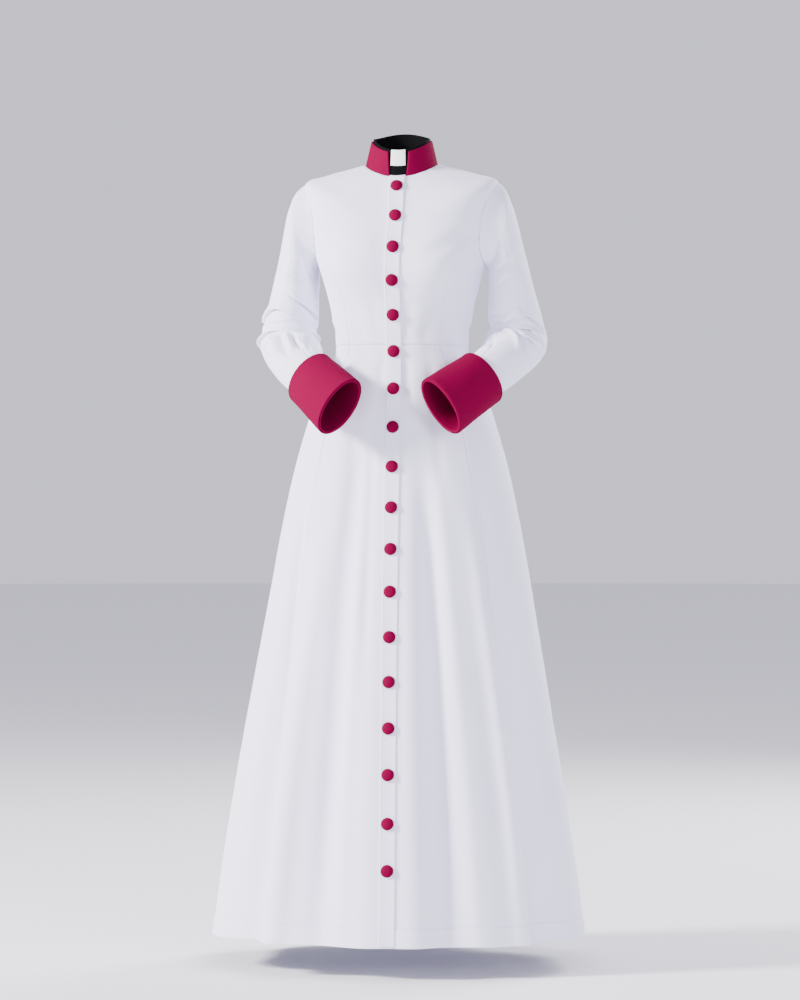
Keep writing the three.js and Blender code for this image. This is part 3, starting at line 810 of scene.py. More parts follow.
@dataclass(frozen=True)
class Body:
    """The robe's outer surface, from the neck seam to the hem.

    Attributes:
        bust: the fullness of the princess cut.
        wander: height of the cloth's small unevenness, mm.
        wander_run: how far down the cloth one of its waves goes, mm for each radian.
    """

    bust: Fullness = Fullness()
    wander: float = 0.5
    wander_run: float = 70.0

    WANDER_TURNS = 9
    TURN_STEP = 0.4
    LEVEL_STEP = 0.02
    WIDEST = 60.0
    HALVINGS = 24

    def plain(self, angle: np.ndarray, level: np.ndarray) -> np.ndarray:
        """Points of the surface with its large folds alone, where the solids have them.

        Args:
            angle: degrees from the centre front, positive to the wearer's left.
            level: fractional levels.

        Returns:
            Points in mm, shaped as angle plus a last axis of 3.
        """
        turned = np.radians(angle + along(LEVELS, "twist", level))
        s, c = np.sin(turned), np.cos(turned)
        wide = along(LEVELS, "wide", level)
        deep = np.where(c > 0, along(LEVELS, "fore", level), along(LEVELS, "aft", level))
        n = along(LEVELS, "square", level)
        r = (np.abs(s / wide) ** n + np.abs(c / deep) ** n) ** (-1 / n)
        side = along(LEVELS, "side", level)
        far = np.where(c > 0, along(LEVELS, "front", level), along(LEVELS, "back", level))
        z = side + (far - side) * np.abs(c) ** SHOULDER_ROUNDING
        apex = (np.abs(angle) - self.bust.angle) / self.bust.spread
        r = r + self.bust.depth * np.exp(-(apex**2) - ((z - self.bust.height) / self.bust.drop) ** 2)
        r = r + np.where(level > WAIST, self.folds(angle, z), 0.0)
        swing = HEM_SWING * np.maximum(0, (level - WAIST) / (HEM - WAIST)) ** 2
        return np.stack([r * s + swing, -r * c, z], axis=-1)

    def folds(self, angle: np.ndarray, z: np.ndarray) -> np.ndarray:
        """How far the skirt's large folds push it out.

        Args:
            angle: degrees from the centre front.
            z: heights.

        Returns:
            Millimetres outward.
        """
        waist, hem = LEVELS[WAIST].side, LEVELS[HEM].side
        down = (waist - z) / (waist - hem)
        rise = np.zeros_like(z)
        for fold in FOLDS:
            grown = smooth((fold.start - z) / (fold.start - hem) * FOLD_GROWTH)
            middle = fold.top + (fold.hem - fold.top) * down
            off = (angle - middle + 180) % 360 - 180
            rise = rise + fold.rise * grown * bell(off, fold.spread)
        return rise

    def relief(self, angle: np.ndarray, points: np.ndarray) -> np.ndarray:
        """Height of the small creases above the plain surface.

        Args:
            angle: degrees from the centre front.
            points: the plain surface there.

        Returns:
            Millimetres along the normal.
        """
        z = points[..., 2]
        reach = np.hypot(points[..., 0], points[..., 1])
        angle = (angle + 180) % 360 - 180
        height = np.zeros_like(z)
        for crease in BODY_CREASES:
            height = height + crease.shape(angle, z, np.radians(1.0) * reach, -1.0)[0]
        wander = unevenness(np.radians(angle) * self.WANDER_TURNS, z / self.wander_run, seed=1.3)
        return height + self.wander * wander

    def points(self, angle: np.ndarray, level: np.ndarray, out: float | np.ndarray = 0.0) -> np.ndarray:
        """Points of the dressed surface.

        Args:
            angle: degrees from the centre front.
            level: fractional levels.
            out: extra distance along the outward normal, mm.

        Returns:
            Points in mm.
        """
        base = self.plain(angle, level)
        normal = self.normals(angle, level)
        height = self.relief(angle, base) + out
        return base + normal * height[..., None]

    def normals(self, angle: np.ndarray, level: np.ndarray) -> np.ndarray:
        """Outward normals of the plain surface.

        Args:
            angle: degrees from the centre front.
            level: fractional levels.

        Returns:
            Unit vectors.
        """
        low, high = np.minimum(level + self.LEVEL_STEP, HEM), np.maximum(level - self.LEVEL_STEP, 0)
        round_it = self.plain(angle + self.TURN_STEP, level) - self.plain(angle - self.TURN_STEP, level)
        down = self.plain(angle, low) - self.plain(angle, high)
        normal = np.cross(down, round_it)
        return normal / np.linalg.norm(normal, axis=-1, keepdims=True)

    def angle_across(self, x: float, level: np.ndarray) -> np.ndarray:
        """The angle at which the front is a given distance to one side of its centre line.

        Args:
            x: the distance, mm; below 0 is the wearer's right.
            level: fractional levels.

        Returns:
            Degrees.
        """
        hand = math.copysign(1, x)
        centre = self.plain(np.zeros_like(level), level)[..., 0]
        low, high = np.zeros_like(level), np.full_like(level, self.WIDEST)
        for _ in range(self.HALVINGS):
            middle = (low + high) / 2
            short = (self.plain(hand * middle, level)[..., 0] - centre) * hand < abs(x)
            low, high = np.where(short, middle, low), np.where(short, high, middle)
        return hand * low


BODY = Body()


# ---------------------------------------------------------------------------------------------------
# Meshes
# ---------------------------------------------------------------------------------------------------


@dataclass
class Sheet:
    """A grid of outer and inner points that becomes a thin closed shell.

    Attributes:
        outer, inner: shaped (rows, columns, 3), mm.
        across, down: distances along the cloth at each grid point, mm, for the weave.
        wrap: whether the last column is followed by the first.
    """

    outer: np.ndarray
    inner: np.ndarray
    across: np.ndarray
    down: np.ndarray
    wrap: bool = False

    def mesh(self, name: str) -> bpy.types.Mesh:
        """Builds the mesh.

        Args:
            name: the mesh's name.

        Returns:
            A closed mesh in metres with a UV map in metres, its faces pointing out.
        """
        rows, cols = self.outer.shape[:2]
        points = np.concatenate([self.outer.reshape(-1, 3), self.inner.reshape(-1, 3)]) * MM
        last = cols if self.wrap else cols - 1
        i, j = np.meshgrid(np.arange(rows - 1), np.arange(last), indexing="ij")
        right = (j + 1) % cols
        half = rows * cols
        face = np.stack([i * cols + j, (i + 1) * cols + j, (i + 1) * cols + right, i * cols + right], -1)
        face = face.reshape(-1, 4)
        quads = [face, face[:, ::-1] + half]
        k = np.arange(last)
        next_k = (k + 1) % cols
        foot = (rows - 1) * cols
        quads.append(np.stack([k, next_k, next_k + half, k + half], -1))
        quads.append(np.stack([foot + next_k, foot + k, foot + k + half, foot + next_k + half], -1))
        if not self.wrap:
            m = np.arange(rows - 1) * cols
            quads.append(np.stack([m + cols, m, m + half, m + cols + half], -1))
            m = m + cols - 1
            quads.append(np.stack([m, m + cols, m + cols + half, m + half], -1))
        quads = np.concatenate(quads)
        if self.turned(points[: half].reshape(rows, cols, 3), points[half:].reshape(rows, cols, 3)):
            quads = quads[:, ::-1]
        mesh = bpy.data.meshes.new(name)
        mesh.from_pydata(points.tolist(), [], quads.tolist())
        uv = np.stack([np.tile(self.across.ravel(), 2), np.tile(self.down.ravel(), 2)], -1) * MM
        layer = mesh.uv_layers.new(name="cloth")
        corners = np.empty(len(mesh.loops), int)
        mesh.loops.foreach_get("vertex_index", corners)
        layer.data.foreach_set("uv", uv[corners].ravel())
        mesh.polygons.foreach_set("use_smooth", np.ones(len(mesh.polygons), bool))
        mesh.update()
        return mesh

    @staticmethod
    def turned(outer: np.ndarray, inner: np.ndarray) -> bool:
        """Whether the faces as laid out point inward.

        Args:
            outer, inner: the shell's two grids.

        Returns:
            True where they have to be reversed.
        """
        normal = grid_normals(outer)
        return float((normal * (outer - inner)).sum()) < 0


@dataclass(frozen=True)
class Edge:
    """How a panel's edge is finished.

    Attributes:
        dip: how far the edge turns in, mm.
        reach: how far from the edge that shows.
        ridge: height of the seam allowance's soft ridge beside it.
        turned: how deep the cloth is turned up behind it, mm.
    """

    dip: float
    reach: float
    ridge: float
    turned: float = 0.0


SEWN = Edge(0.9, 1.4, 0.45)
PRESSED = Edge(0.5, 1.2, 0.2)
CAP = Edge(0.0, 1.2, 0.5)
HEMMED = Edge(0.7, 1.0, 0.0, 33)
UNDER = Edge(0.0, 1.0, 0.0)
# The step in the face where the turned-up cloth ends, how softly it rises, and the line pressed in there.
TURNED_STEP = 0.7
TURNED_SOFTNESS = 1.8
TURNED_LINE = 0.6
TURNED_LINE_WIDTH = 1.3
# The ridge over a seam allowance: how far in from the seam it lies, its width, and how it puckers.
RIDGE_PLACE = 4.2
RIDGE_WIDTH = 2.6
PUCKER = 0.55
PUCKER_RUN = 6.5
PUCKER_REACH = 9.0
# Distances of a panel's rows from its edge, and the narrowest panel that has room for them all.
LIPS = np.array([0.08, 0.5, 1.1, 2.0, 3.4, 5.5])
LIPS_ROOM = 24.0
# Thicknesses: the cloth, the seam allowance behind it and how far in that reaches, the tuck into the
# armhole, and the gap at a seam.
CLOTH = 1.3
ALLOWANCE = 1.4
ALLOWANCE_REACH = 4.0
TUCK = 0.04
SEAM = 0.3

Places = Callable[[np.ndarray, np.ndarray], tuple[np.ndarray, np.ndarray]]


def stations(length: float, step: float, count: int | None = None) -> np.ndarray:
    """Distances across a panel: close together at both edges and even between.

    Args:
        length: from edge to edge, mm.
        step: the even spacing wanted.
        count: how many even ones, where it has to match other rows.

    Returns:
        Increasing distances.
    """
    lips = LIPS * min(1.0, length / LIPS_ROOM)
    count = count or max(2, int(round((length - 2 * lips[-1]) / step)))
    middle = np.linspace(lips[-1], length - lips[-1], count + 1)[1:-1]
    return np.concatenate([lips, middle, length - lips[::-1]])


@dataclass
class Panel:
    """One cut panel of the body.

    Attributes:
        name: the node's name without its side.
        places: from fractions across and down to angle and level.
        edges: finish of its near side, far side, top and bottom.
        step: spacing of its grid, mm.
    """

    name: str
    places: Places
    edges: tuple[Edge, Edge, Edge, Edge]
    step: float = 5.0

    SAMPLES_DOWN = 161
    SAMPLES_ACROSS = 61
    ROW_SPACING = 1.3
    TURNED_ROWS = np.arange(-2.8, 2.9, 0.7)

    def sheet(self) -> Sheet:
        """Lays the panel on the body.

        Returns:
            The panel as a shell.
        """
        t = np.linspace(0, 1, self.SAMPLES_DOWN)
        length = lengths(BODY.plain(*self.places(np.full_like(t, 0.5), t)))
        rows = stations(length[-1], self.step * self.ROW_SPACING)
        if self.edges[3].turned:
            rows = np.union1d(rows, length[-1] - self.edges[3].turned + self.TURNED_ROWS)
        t_rows = np.interp(rows, length, t)
        s = np.linspace(0, 1, self.SAMPLES_ACROSS)
        grid = BODY.plain(*self.places(*np.broadcast_arrays(s[None, :], t_rows[:, None])))
        widths = lengths(grid, axis=1)
        count = max(3, int(round(widths[:, -1].max() / self.step)))
        across = np.stack([stations(w[-1], self.step, count) for w in widths])
        share = np.stack([np.interp(a, w, s) for a, w in zip(across, widths)])
        angle, level = self.places(share, np.broadcast_to(t_rows[:, None], share.shape))
        down = np.broadcast_to(rows[:, None], share.shape)
        gaps = (across, widths[:, -1:] - across, down, length[-1] - down)
        relief = np.zeros_like(across)
        for edge, gap, run_along in zip(self.edges, gaps, (down, down, across, across)):
            relief = relief + edge_relief(edge, gap, run_along)
        outer = BODY.points(angle, level, relief)
        normal = BODY.normals(angle, level)
        allowance = ALLOWANCE * bell(np.minimum.reduce(gaps), ALLOWANCE_REACH)
        return Sheet(outer, outer - normal * (CLOTH + allowance)[..., None], across, down)


def edge_relief(edge: Edge, gap: np.ndarray, run: np.ndarray) -> np.ndarray:
    """Height of a finished edge above the panel.

    Args:
        edge: its finish.
        gap: distance from the edge, mm.
        run: distance along it, mm.

    Returns:
        Millimetres outward.
    """
    pucker = 1 + PUCKER * unevenness(run / PUCKER_RUN, gap / PUCKER_REACH, seed=0.7)
    height = edge.ridge * pucker * bell(gap - RIDGE_PLACE, RIDGE_WIDTH) - edge.dip * bell(gap, edge.reach)
    if edge.turned:
        height = height + TURNED_STEP * smooth((edge.turned - gap) / TURNED_SOFTNESS + 0.5)
        height = height - TURNED_LINE * pucker * bell(gap - edge.turned, TURNED_LINE_WIDTH)
    return height


def armhole_angle(level: np.ndarray, side: str) -> np.ndarray:
    """The angle of the armhole's edge beside a centre panel.

    Args:
        level: fractional levels.
        side: "front" or "back".

    Returns:
        Degrees.
    """
    return np.interp(level, ARMHOLE_LEVELS, ARMHOLE_ANGLES[side])


def centre_bodice(side: str, hand: Hand) -> Places:
    """Places of a centre panel of the bodice.

    Args:
        side: "front" or "back".
        hand: the wearer's side.

    Returns:
        The panel's map: across from the centre line, down from the neck.
    """

    def places(s: np.ndarray, t: np.ndarray) -> tuple[np.ndarray, np.ndarray]:
        """Angles and levels of places on the panel.

        Args:
            s, t: fractions across and down it.

        Returns:
            The angle and the level of each.
        """
        level = t * WAIST
        edge = np.where(level < PRINCESS_START, armhole_angle(level, side), seam_angle(level, side))
        start = 0.0 if side == "front" else 180.0
        return hand.value * (start + (edge - start) * s), level

    return places


def side_bodice(side: str, hand: Hand) -> Places:
    """Places of a side panel of the bodice, ruled between its four curved edges.

    Args:
        side: "front" or "back".
        hand: the wearer's side.

    Returns:
        The panel's map: across from the princess seam to the side seam, down from the armhole.
    """
    start = ARMHOLE_ANGLES[side][-1]
    foot = float(seam_angle(np.array(WAIST), side))

    def places(s: np.ndarray, t: np.ndarray) -> tuple[np.ndarray, np.ndarray]:
        """Angles and levels of places on the panel.

        Args:
            s, t: fractions across and down it.

        Returns:
            The angle and the level of each.
        """
        at = s * (len(UNDERARM_TURNS) - 1)
        turn = np.interp(at, range(len(UNDERARM_TURNS)), UNDERARM_TURNS)
        top = (start + (90 - start) * turn, np.interp(at, range(len(UNDERARM_LEVELS)), UNDERARM_LEVELS))
        bottom = (foot + (90 - foot) * s, np.full_like(s, WAIST))
        level = PRINCESS_START + (WAIST - PRINCESS_START) * t
        seam = (np.where(t <= 0, start, seam_angle(level, side)), level)
        flank = (np.full_like(t, 90.0), UNDERARM + (WAIST - UNDERARM) * t)
        ends = ((start, foot, 90.0, 90.0), (PRINCESS_START, WAIST, UNDERARM, WAIST))
        out = []
        for axis in (0, 1):
            a, b, c, d = ends[axis]
            ruled = (1 - t) * top[axis] + t * bottom[axis] + (1 - s) * seam[axis] + s * flank[axis]
            out.append(ruled - (1 - s) * ((1 - t) * a + t * b) - s * ((1 - t) * c + t * d))
        return hand.value * out[0], out[1]

    return places


def skirt_panel(near: Callable, far: Callable, hand: Hand) -> Places:
    """Places of a skirt panel.

    Args:
        near, far: angle of each edge by level.
        hand: the wearer's side.

    Returns:
        The panel's map: across from the near edge, down from the waist.
    """

    def places(s: np.ndarray, t: np.ndarray) -> tuple[np.ndarray, np.ndarray]:
        """Angles and levels of places on the panel.

        Args:
            s, t: fractions across and down it.

        Returns:
            The angle and the level of each.
        """
        level = WAIST + (HEM - WAIST) * t
        start, end = near(level), far(level)
        return hand.value * (start + (end - start) * s), level

    return places


def body_panels(hand: Hand) -> list[Panel]:
    """All the panels of one side of the body.

    Args:
        hand: the wearer's side.

    Returns:
        Its panels.
    """

    front, back = (partial(seam_angle, side=side) for side in ("front", "back"))
    centre, flank, centre_back = (partial(np.full_like, fill_value=angle) for angle in (0, 90, 180))
    return [
        Panel("bodice_front", centre_bodice("front", hand), (UNDER, SEWN, SEWN, SEWN)),
        Panel("bodice_side_front", side_bodice("front", hand), (SEWN, SEWN, SEWN, SEWN)),
        Panel("bodice_side_back", side_bodice("back", hand), (SEWN, SEWN, SEWN, SEWN)),
        Panel("bodice_back", centre_bodice("back", hand), (SEWN, SEWN, SEWN, SEWN)),
        Panel("skirt_front", skirt_panel(centre, front, hand), (UNDER, SEWN, SEWN, HEMMED)),
        Panel("skirt_side_front", skirt_panel(front, flank, hand), (SEWN, SEWN, SEWN, HEMMED)),
        Panel("skirt_side_back", skirt_panel(flank, back, hand), (SEWN, SEWN, SEWN, HEMMED)),
        Panel("skirt_back", skirt_panel(back, centre_back, hand), (SEWN, SEWN, SEWN, HEMMED)),
    ]


def add_piece(name: str, mesh: bpy.types.Mesh, finish: Finish, nodes: Sequence[str]) -> bpy.types.Object:
    """Adds a piece that rides with the robe.

    Args:
        name: the piece's name.
        mesh: its mesh.
        finish: its finish.
        nodes: the CAD nodes that it stands for.

    Returns:
        The new object.
    """
    piece = bpy.data.objects.new(name, mesh)
    bpy.context.scene.collection.objects.link(piece)
    mesh.materials.append(WARDROBE.of(finish))
    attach(piece, "root")
    if nodes:
        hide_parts(*nodes)
    return piece


def add_cloth(
    name: str, sheet: Sheet, finish: Finish, nodes: Sequence[str]
) -> bpy.types.Object:
    """Args:
        name: the piece's name.
        sheet: its grid.
        finish: its finish.
        nodes: the CAD nodes that it stands for.

    Returns:
        The new object.
    """
    piece = add_piece(name, sheet.mesh(name), finish, nodes)
    return piece


# ---------------------------------------------------------------------------------------------------
# Sleeves and cuffs
# ---------------------------------------------------------------------------------------------------


@dataclass(frozen=True)
class Section:
    """One section of the left sleeve.

    Attributes:
        outer, inner: its outermost and innermost points.
        deep: half its depth across.
    """

    outer: tuple[float, float, float]
    inner: tuple[float, float, float]
    deep: float

    @property
    def middle(self) -> np.ndarray:
        """Its middle."""
        return (np.array(self.outer) + np.array(self.inner)) / 2

    @property
    def half(self) -> np.ndarray:
        """Half the way from its innermost to its outermost point."""
        return (np.array(self.outer) - np.array(self.inner)) / 2


SLEEVE = (
    Section((182, 1, -44), (152.5, 1, -184), 61),
    Section((194, 2, -68), (153.5, 3, -194), 61.5),
    Section((205, 5, -105), (154, 6, -208), 61),
    Section((215, 9, -148), (153.5, 9, -226), 60),
    Section((226, 13, -190), (152.5, 12, -246), 59),
    Section((236, 18, -230), (152, 15, -267), 58),
    Section((245, 24, -264), (153, 18, -287), 57),
    Section((251, 29, -290), (154, 19, -301), 56),
    Section((255, 31, -313), (153, 14, -309), 55),
    Section((251, 20, -334), (150, -6, -315), 53),
    Section((241, 2, -352), (146, -29, -321), 48),
    Section((225, -24, -370), (141, -54, -329), 41),
    Section((203, -52, -391), (136, -74, -337), 34),
)
CUFF_EDGE = Section((181.5, -82, -420.5), (122.5, -92, -338), 37)
CUFF_MOUTH = Section((119, -168, -478), (56.5, -166, -386), 33)
# The cuff's thickness, how far its elbow edge stands off the sleeve, and where the sleeve runs inside it.
CUFF_WALL = 2.4
CUFF_STAND_OFF = 8.0
CUFF_STATIONS = (0, 0.3, 0.6, 0.93)
FACING_WALL = 1.6
# The thickness that the solids give to cloth, and their points round a sleeve.
SOLID_CLOTH = 2.0
RING = 24
TURNS_ROUND = 120


@dataclass(frozen=True)
class ElbowFold:
    """A fold round the sleeve where the elbow bends, as the solids have it.

    Attributes:
        row: its middle, in sections down the sleeve.
        side, spread: its middle round the sleeve and half its length, degrees.
        rise: its height, mm; a trough is below 0.
        width: half its width, in sections.
    """

    row: float
    side: float
    spread: float
    rise: float
    width: float


ELBOW_FOLDS = (
    ElbowFold(6.3, 180, 75, -4, 0.5),
    ElbowFold(7.2, 175, 80, 5, 0.55),
    ElbowFold(8.3, 180, 85, -9, 0.5),
    ElbowFold(9.3, 170, 80, 4, 0.6),
    ElbowFold(10.4, 185, 70, -4, 0.55),
)


# Folds of the bent arm: the upper sleeve laps over the forearm in front of the elbow.
SLEEVE_CREASES = {
    Hand.LEFT: (
        Crease(
            ((195, 8.8), (170, 7.9), (128, 7.75), (98, 7.4), (80, 8.0), (56, 8.6), (16, 9.3)),
            3.8, -12.0, 8.0,
        ),
        Crease(((128, 6.7), (110, 6.25), (86, 5.9), (58, 6.4), (42, 7.25), (22, 8.0)), 4.6, -6.8, 6.0),
        Crease(((60, 4.2), (66, 5.0), (70, 5.9)), 5.0, -4.2),
        Crease(((126, 1.8), (95, 2.4), (66, 2.95)), 6.0, -4.6, 2.6),
        Crease(((122, 3.1), (104, 3.2), (86, 3.55)), 5.5, -3.8, 1.6),
        Crease(((178, 4.4), (150, 5.0), (116, 5.6)), 6.0, -4.2, 2.4),
        Crease(((134, 8.5), (105, 9.6), (76, 11.1)), 5.0, 4.6),
        Crease(((122, 8.5), (92, 9.6), (62, 10.9)), 4.5, -6.8, 2.2),
        Crease(((98, 9.4), (74, 9.6), (48, 9.8)), 4.5, -6.4, 3.8),
        Crease(((42, 9.3), (34, 10.0), (22, 11.0)), 5.0, -5.8),
        Crease(((156, 9.4), (142, 10.4), (130, 11.7)), 5.0, -3.0),
        Crease(((112, 7.0), (84, 6.75), (56, 7.4)), 8.0, 3.2),
        Crease(((100, 0.2), (84, 1.6), (74, 3.0)), 9.0, -2.0),
        Crease(((10, 9.2), (-40, 8.9), (-90, 8.3)), 7.0, -3.6, 2.0),
        Crease(((-170, 7.6), (-130, 8.0), (-80, 9.4)), 7.0, -3.0, 1.6),
        Crease(((-60, 5.0), (-90, 5.8), (-126, 6.8)), 8.0, -2.8),
        Crease(((-70, 2.2), (-90, 3.4), (-112, 4.8)), 9.0, -2.6),
        Crease(((-30, 9.8), (-60, 10.6), (-100, 11.2)), 7.0, -2.6),
    ),
    Hand.RIGHT: (
        Crease(
            ((-6, 8.75), (28, 8.4), (70, 8.0), (96, 7.35), (130, 7.6), (176, 8.75), (200, 9.1)),
            3.8, -13.0, 9.0,
        ),
        Crease(((-4, 6.8), (16, 6.3), (58, 5.5), (94, 5.4), (112, 5.7)), 4.6, -7.5, 6.6),
        Crease(((82, 4.3), (112, 4.35), (136, 4.5), (158, 4.9), (178, 5.5)), 5.0, -6.5, 4.6),
        Crease(((70, 3.5), (100, 3.1), (132, 2.7)), 5.2, -5.4, 3.2),
        Crease(((100, -0.5), (125, 0.2), (152, 0.8), (165, 2.0)), 8.0, -3.2),
        Crease(((96, 9.2), (94, 10.4), (93, 11.9)), 4.5, -7.4, 2.4),
        Crease(((107, 9.3), (110, 11.6)), 5.0, 5.4),
        Crease(((116, 9.2), (122, 10.4), (131, 11.6)), 4.5, -7.4, 2.4),
        Crease(((48, 9.1), (52, 10.2), (59, 11.3)), 4.5, -7.0, 3.0),
        Crease(((72, 9.0), (76, 10.4), (78, 11.6)), 5.0, 3.6),
        Crease(((34, 9.0), (40, 10.0), (46, 10.8)), 5.0, 3.8),
        Crease(((22, 7.5), (60, 6.8), (100, 6.5)), 8.0, 3.2),
        Crease(((150, 9.5), (146, 10.6), (150, 11.8)), 5.0, -2.8),
        Crease(((60, 1.0), (66, 2.6), (60, 4.4)), 9.0, -1.8),
        Crease(((-28, 8.9), (-70, 8.6), (-110, 8.0)), 7.0, -3.6, 2.0),
        Crease(((-165, 7.4), (-125, 7.9), (-84, 9.2)), 7.0, -3.0, 1.6),
        Crease(((-58, 4.8), (-92, 5.9), (-124, 7.0)), 8.0, -3.0),
        Crease(((-74, 2.0), (-90, 3.2), (-108, 4.6)), 9.0, -2.4),
        Crease(((-34, 10.0), (-64, 10.7), (-96, 11.1)), 7.0, -2.6),
    ),
}
# Millimetres for each section down the sleeve, and for each degree round it.
ROW_RUN = 31.0
TURN_RUN = math.radians(54.0)

Frame = tuple[np.ndarray, np.ndarray, np.ndarray]


def section_frame(table: Sequence[Section], k: int, reach: int = 4) -> Frame:
    """The frame of a sleeve's section, turned evenly through the elbow.

    Args:
        table: the sections in order.
        k: the section's number.
        reach: how many sections either side give its run.

    Returns:
        Its middle, its half width as a vector and its half depth toward the front as a vector.
    """
    travel = table[min(k + reach, len(table) - 1)].middle - table[max(k - reach, 0)].middle
    here = table[k]
    front = np.cross(travel, here.half)
    front *= here.deep / np.linalg.norm(front)
    return here.middle, here.half, -front if front[1] > 0 else front


def section_loop(frame: Frame, turns: np.ndarray, grow: float | np.ndarray = 0.0) -> np.ndarray:
    """Points round a section.

    Args:
        frame: middle, half width and half depth.
        turns: degrees from the outside, by the front.
        grow: how far to move them out, mm.

    Returns:
        Points shaped (turns, 3).
    """
    middle, half, front = frame
    c, s = np.cos(np.radians(turns))[:, None], np.sin(np.radians(turns))[:, None]
    grow = np.broadcast_to(grow, turns.shape)[:, None]
    wide, deep = np.linalg.norm(half), np.linalg.norm(front)
    return middle + half / wide * (wide + grow) * c + front / deep * (deep + grow) * s


def cuff_loop(t: float, inward: float, turns: np.ndarray) -> np.ndarray:
    """Points round the left cuff.

    Args:
        t: 0 at its elbow edge, 1 at its mouth.
        inward: how far in from its face, mm.
        turns: degrees from the outside, by the front.

    Returns:
        Points shaped (turns, 3).
    """
    ends = [section_frame((CUFF_EDGE, CUFF_MOUTH), k) for k in (0, 1)]
    middle, half, front = (a + (b - a) * t for a, b in zip(*ends))
    return section_loop((middle, half, front), turns, -inward)


def sleeve_inset(t: float) -> float:
    """How far the sleeve inside the cuff lies in from the cuff's face.

    Args:
        t: 0 at the cuff's elbow edge, 1 at its mouth.

    Returns:
        Millimetres.
    """
    return CUFF_WALL + SEAM + CUFF_STAND_OFF * (1 - t / CUFF_STATIONS[-1])


def armhole_path() -> tuple[np.ndarray, np.ndarray]:
    """The left armhole's edge, from the shoulder tip round by the front.

    Returns:
        Its angles and levels at the ring's 24 points.
    """
    front = list(zip(ARMHOLE_ANGLES["front"], ARMHOLE_LEVELS))
    back = list(zip(ARMHOLE_ANGLES["back"], ARMHOLE_LEVELS))
    under = []
    for side in ("front", "back"):
        start = ARMHOLE_ANGLES[side][-1]
        stops = zip(UNDERARM_TURNS, UNDERARM_LEVELS)
        under.append([(start + (90 - start) * turn, level) for turn, level in stops])
    path = front + under[0][1:] + under[1][-2::-1] + back[-2:0:-1]
    return np.array([p[0] for p in path], float), np.array([p[1] for p in path], float)


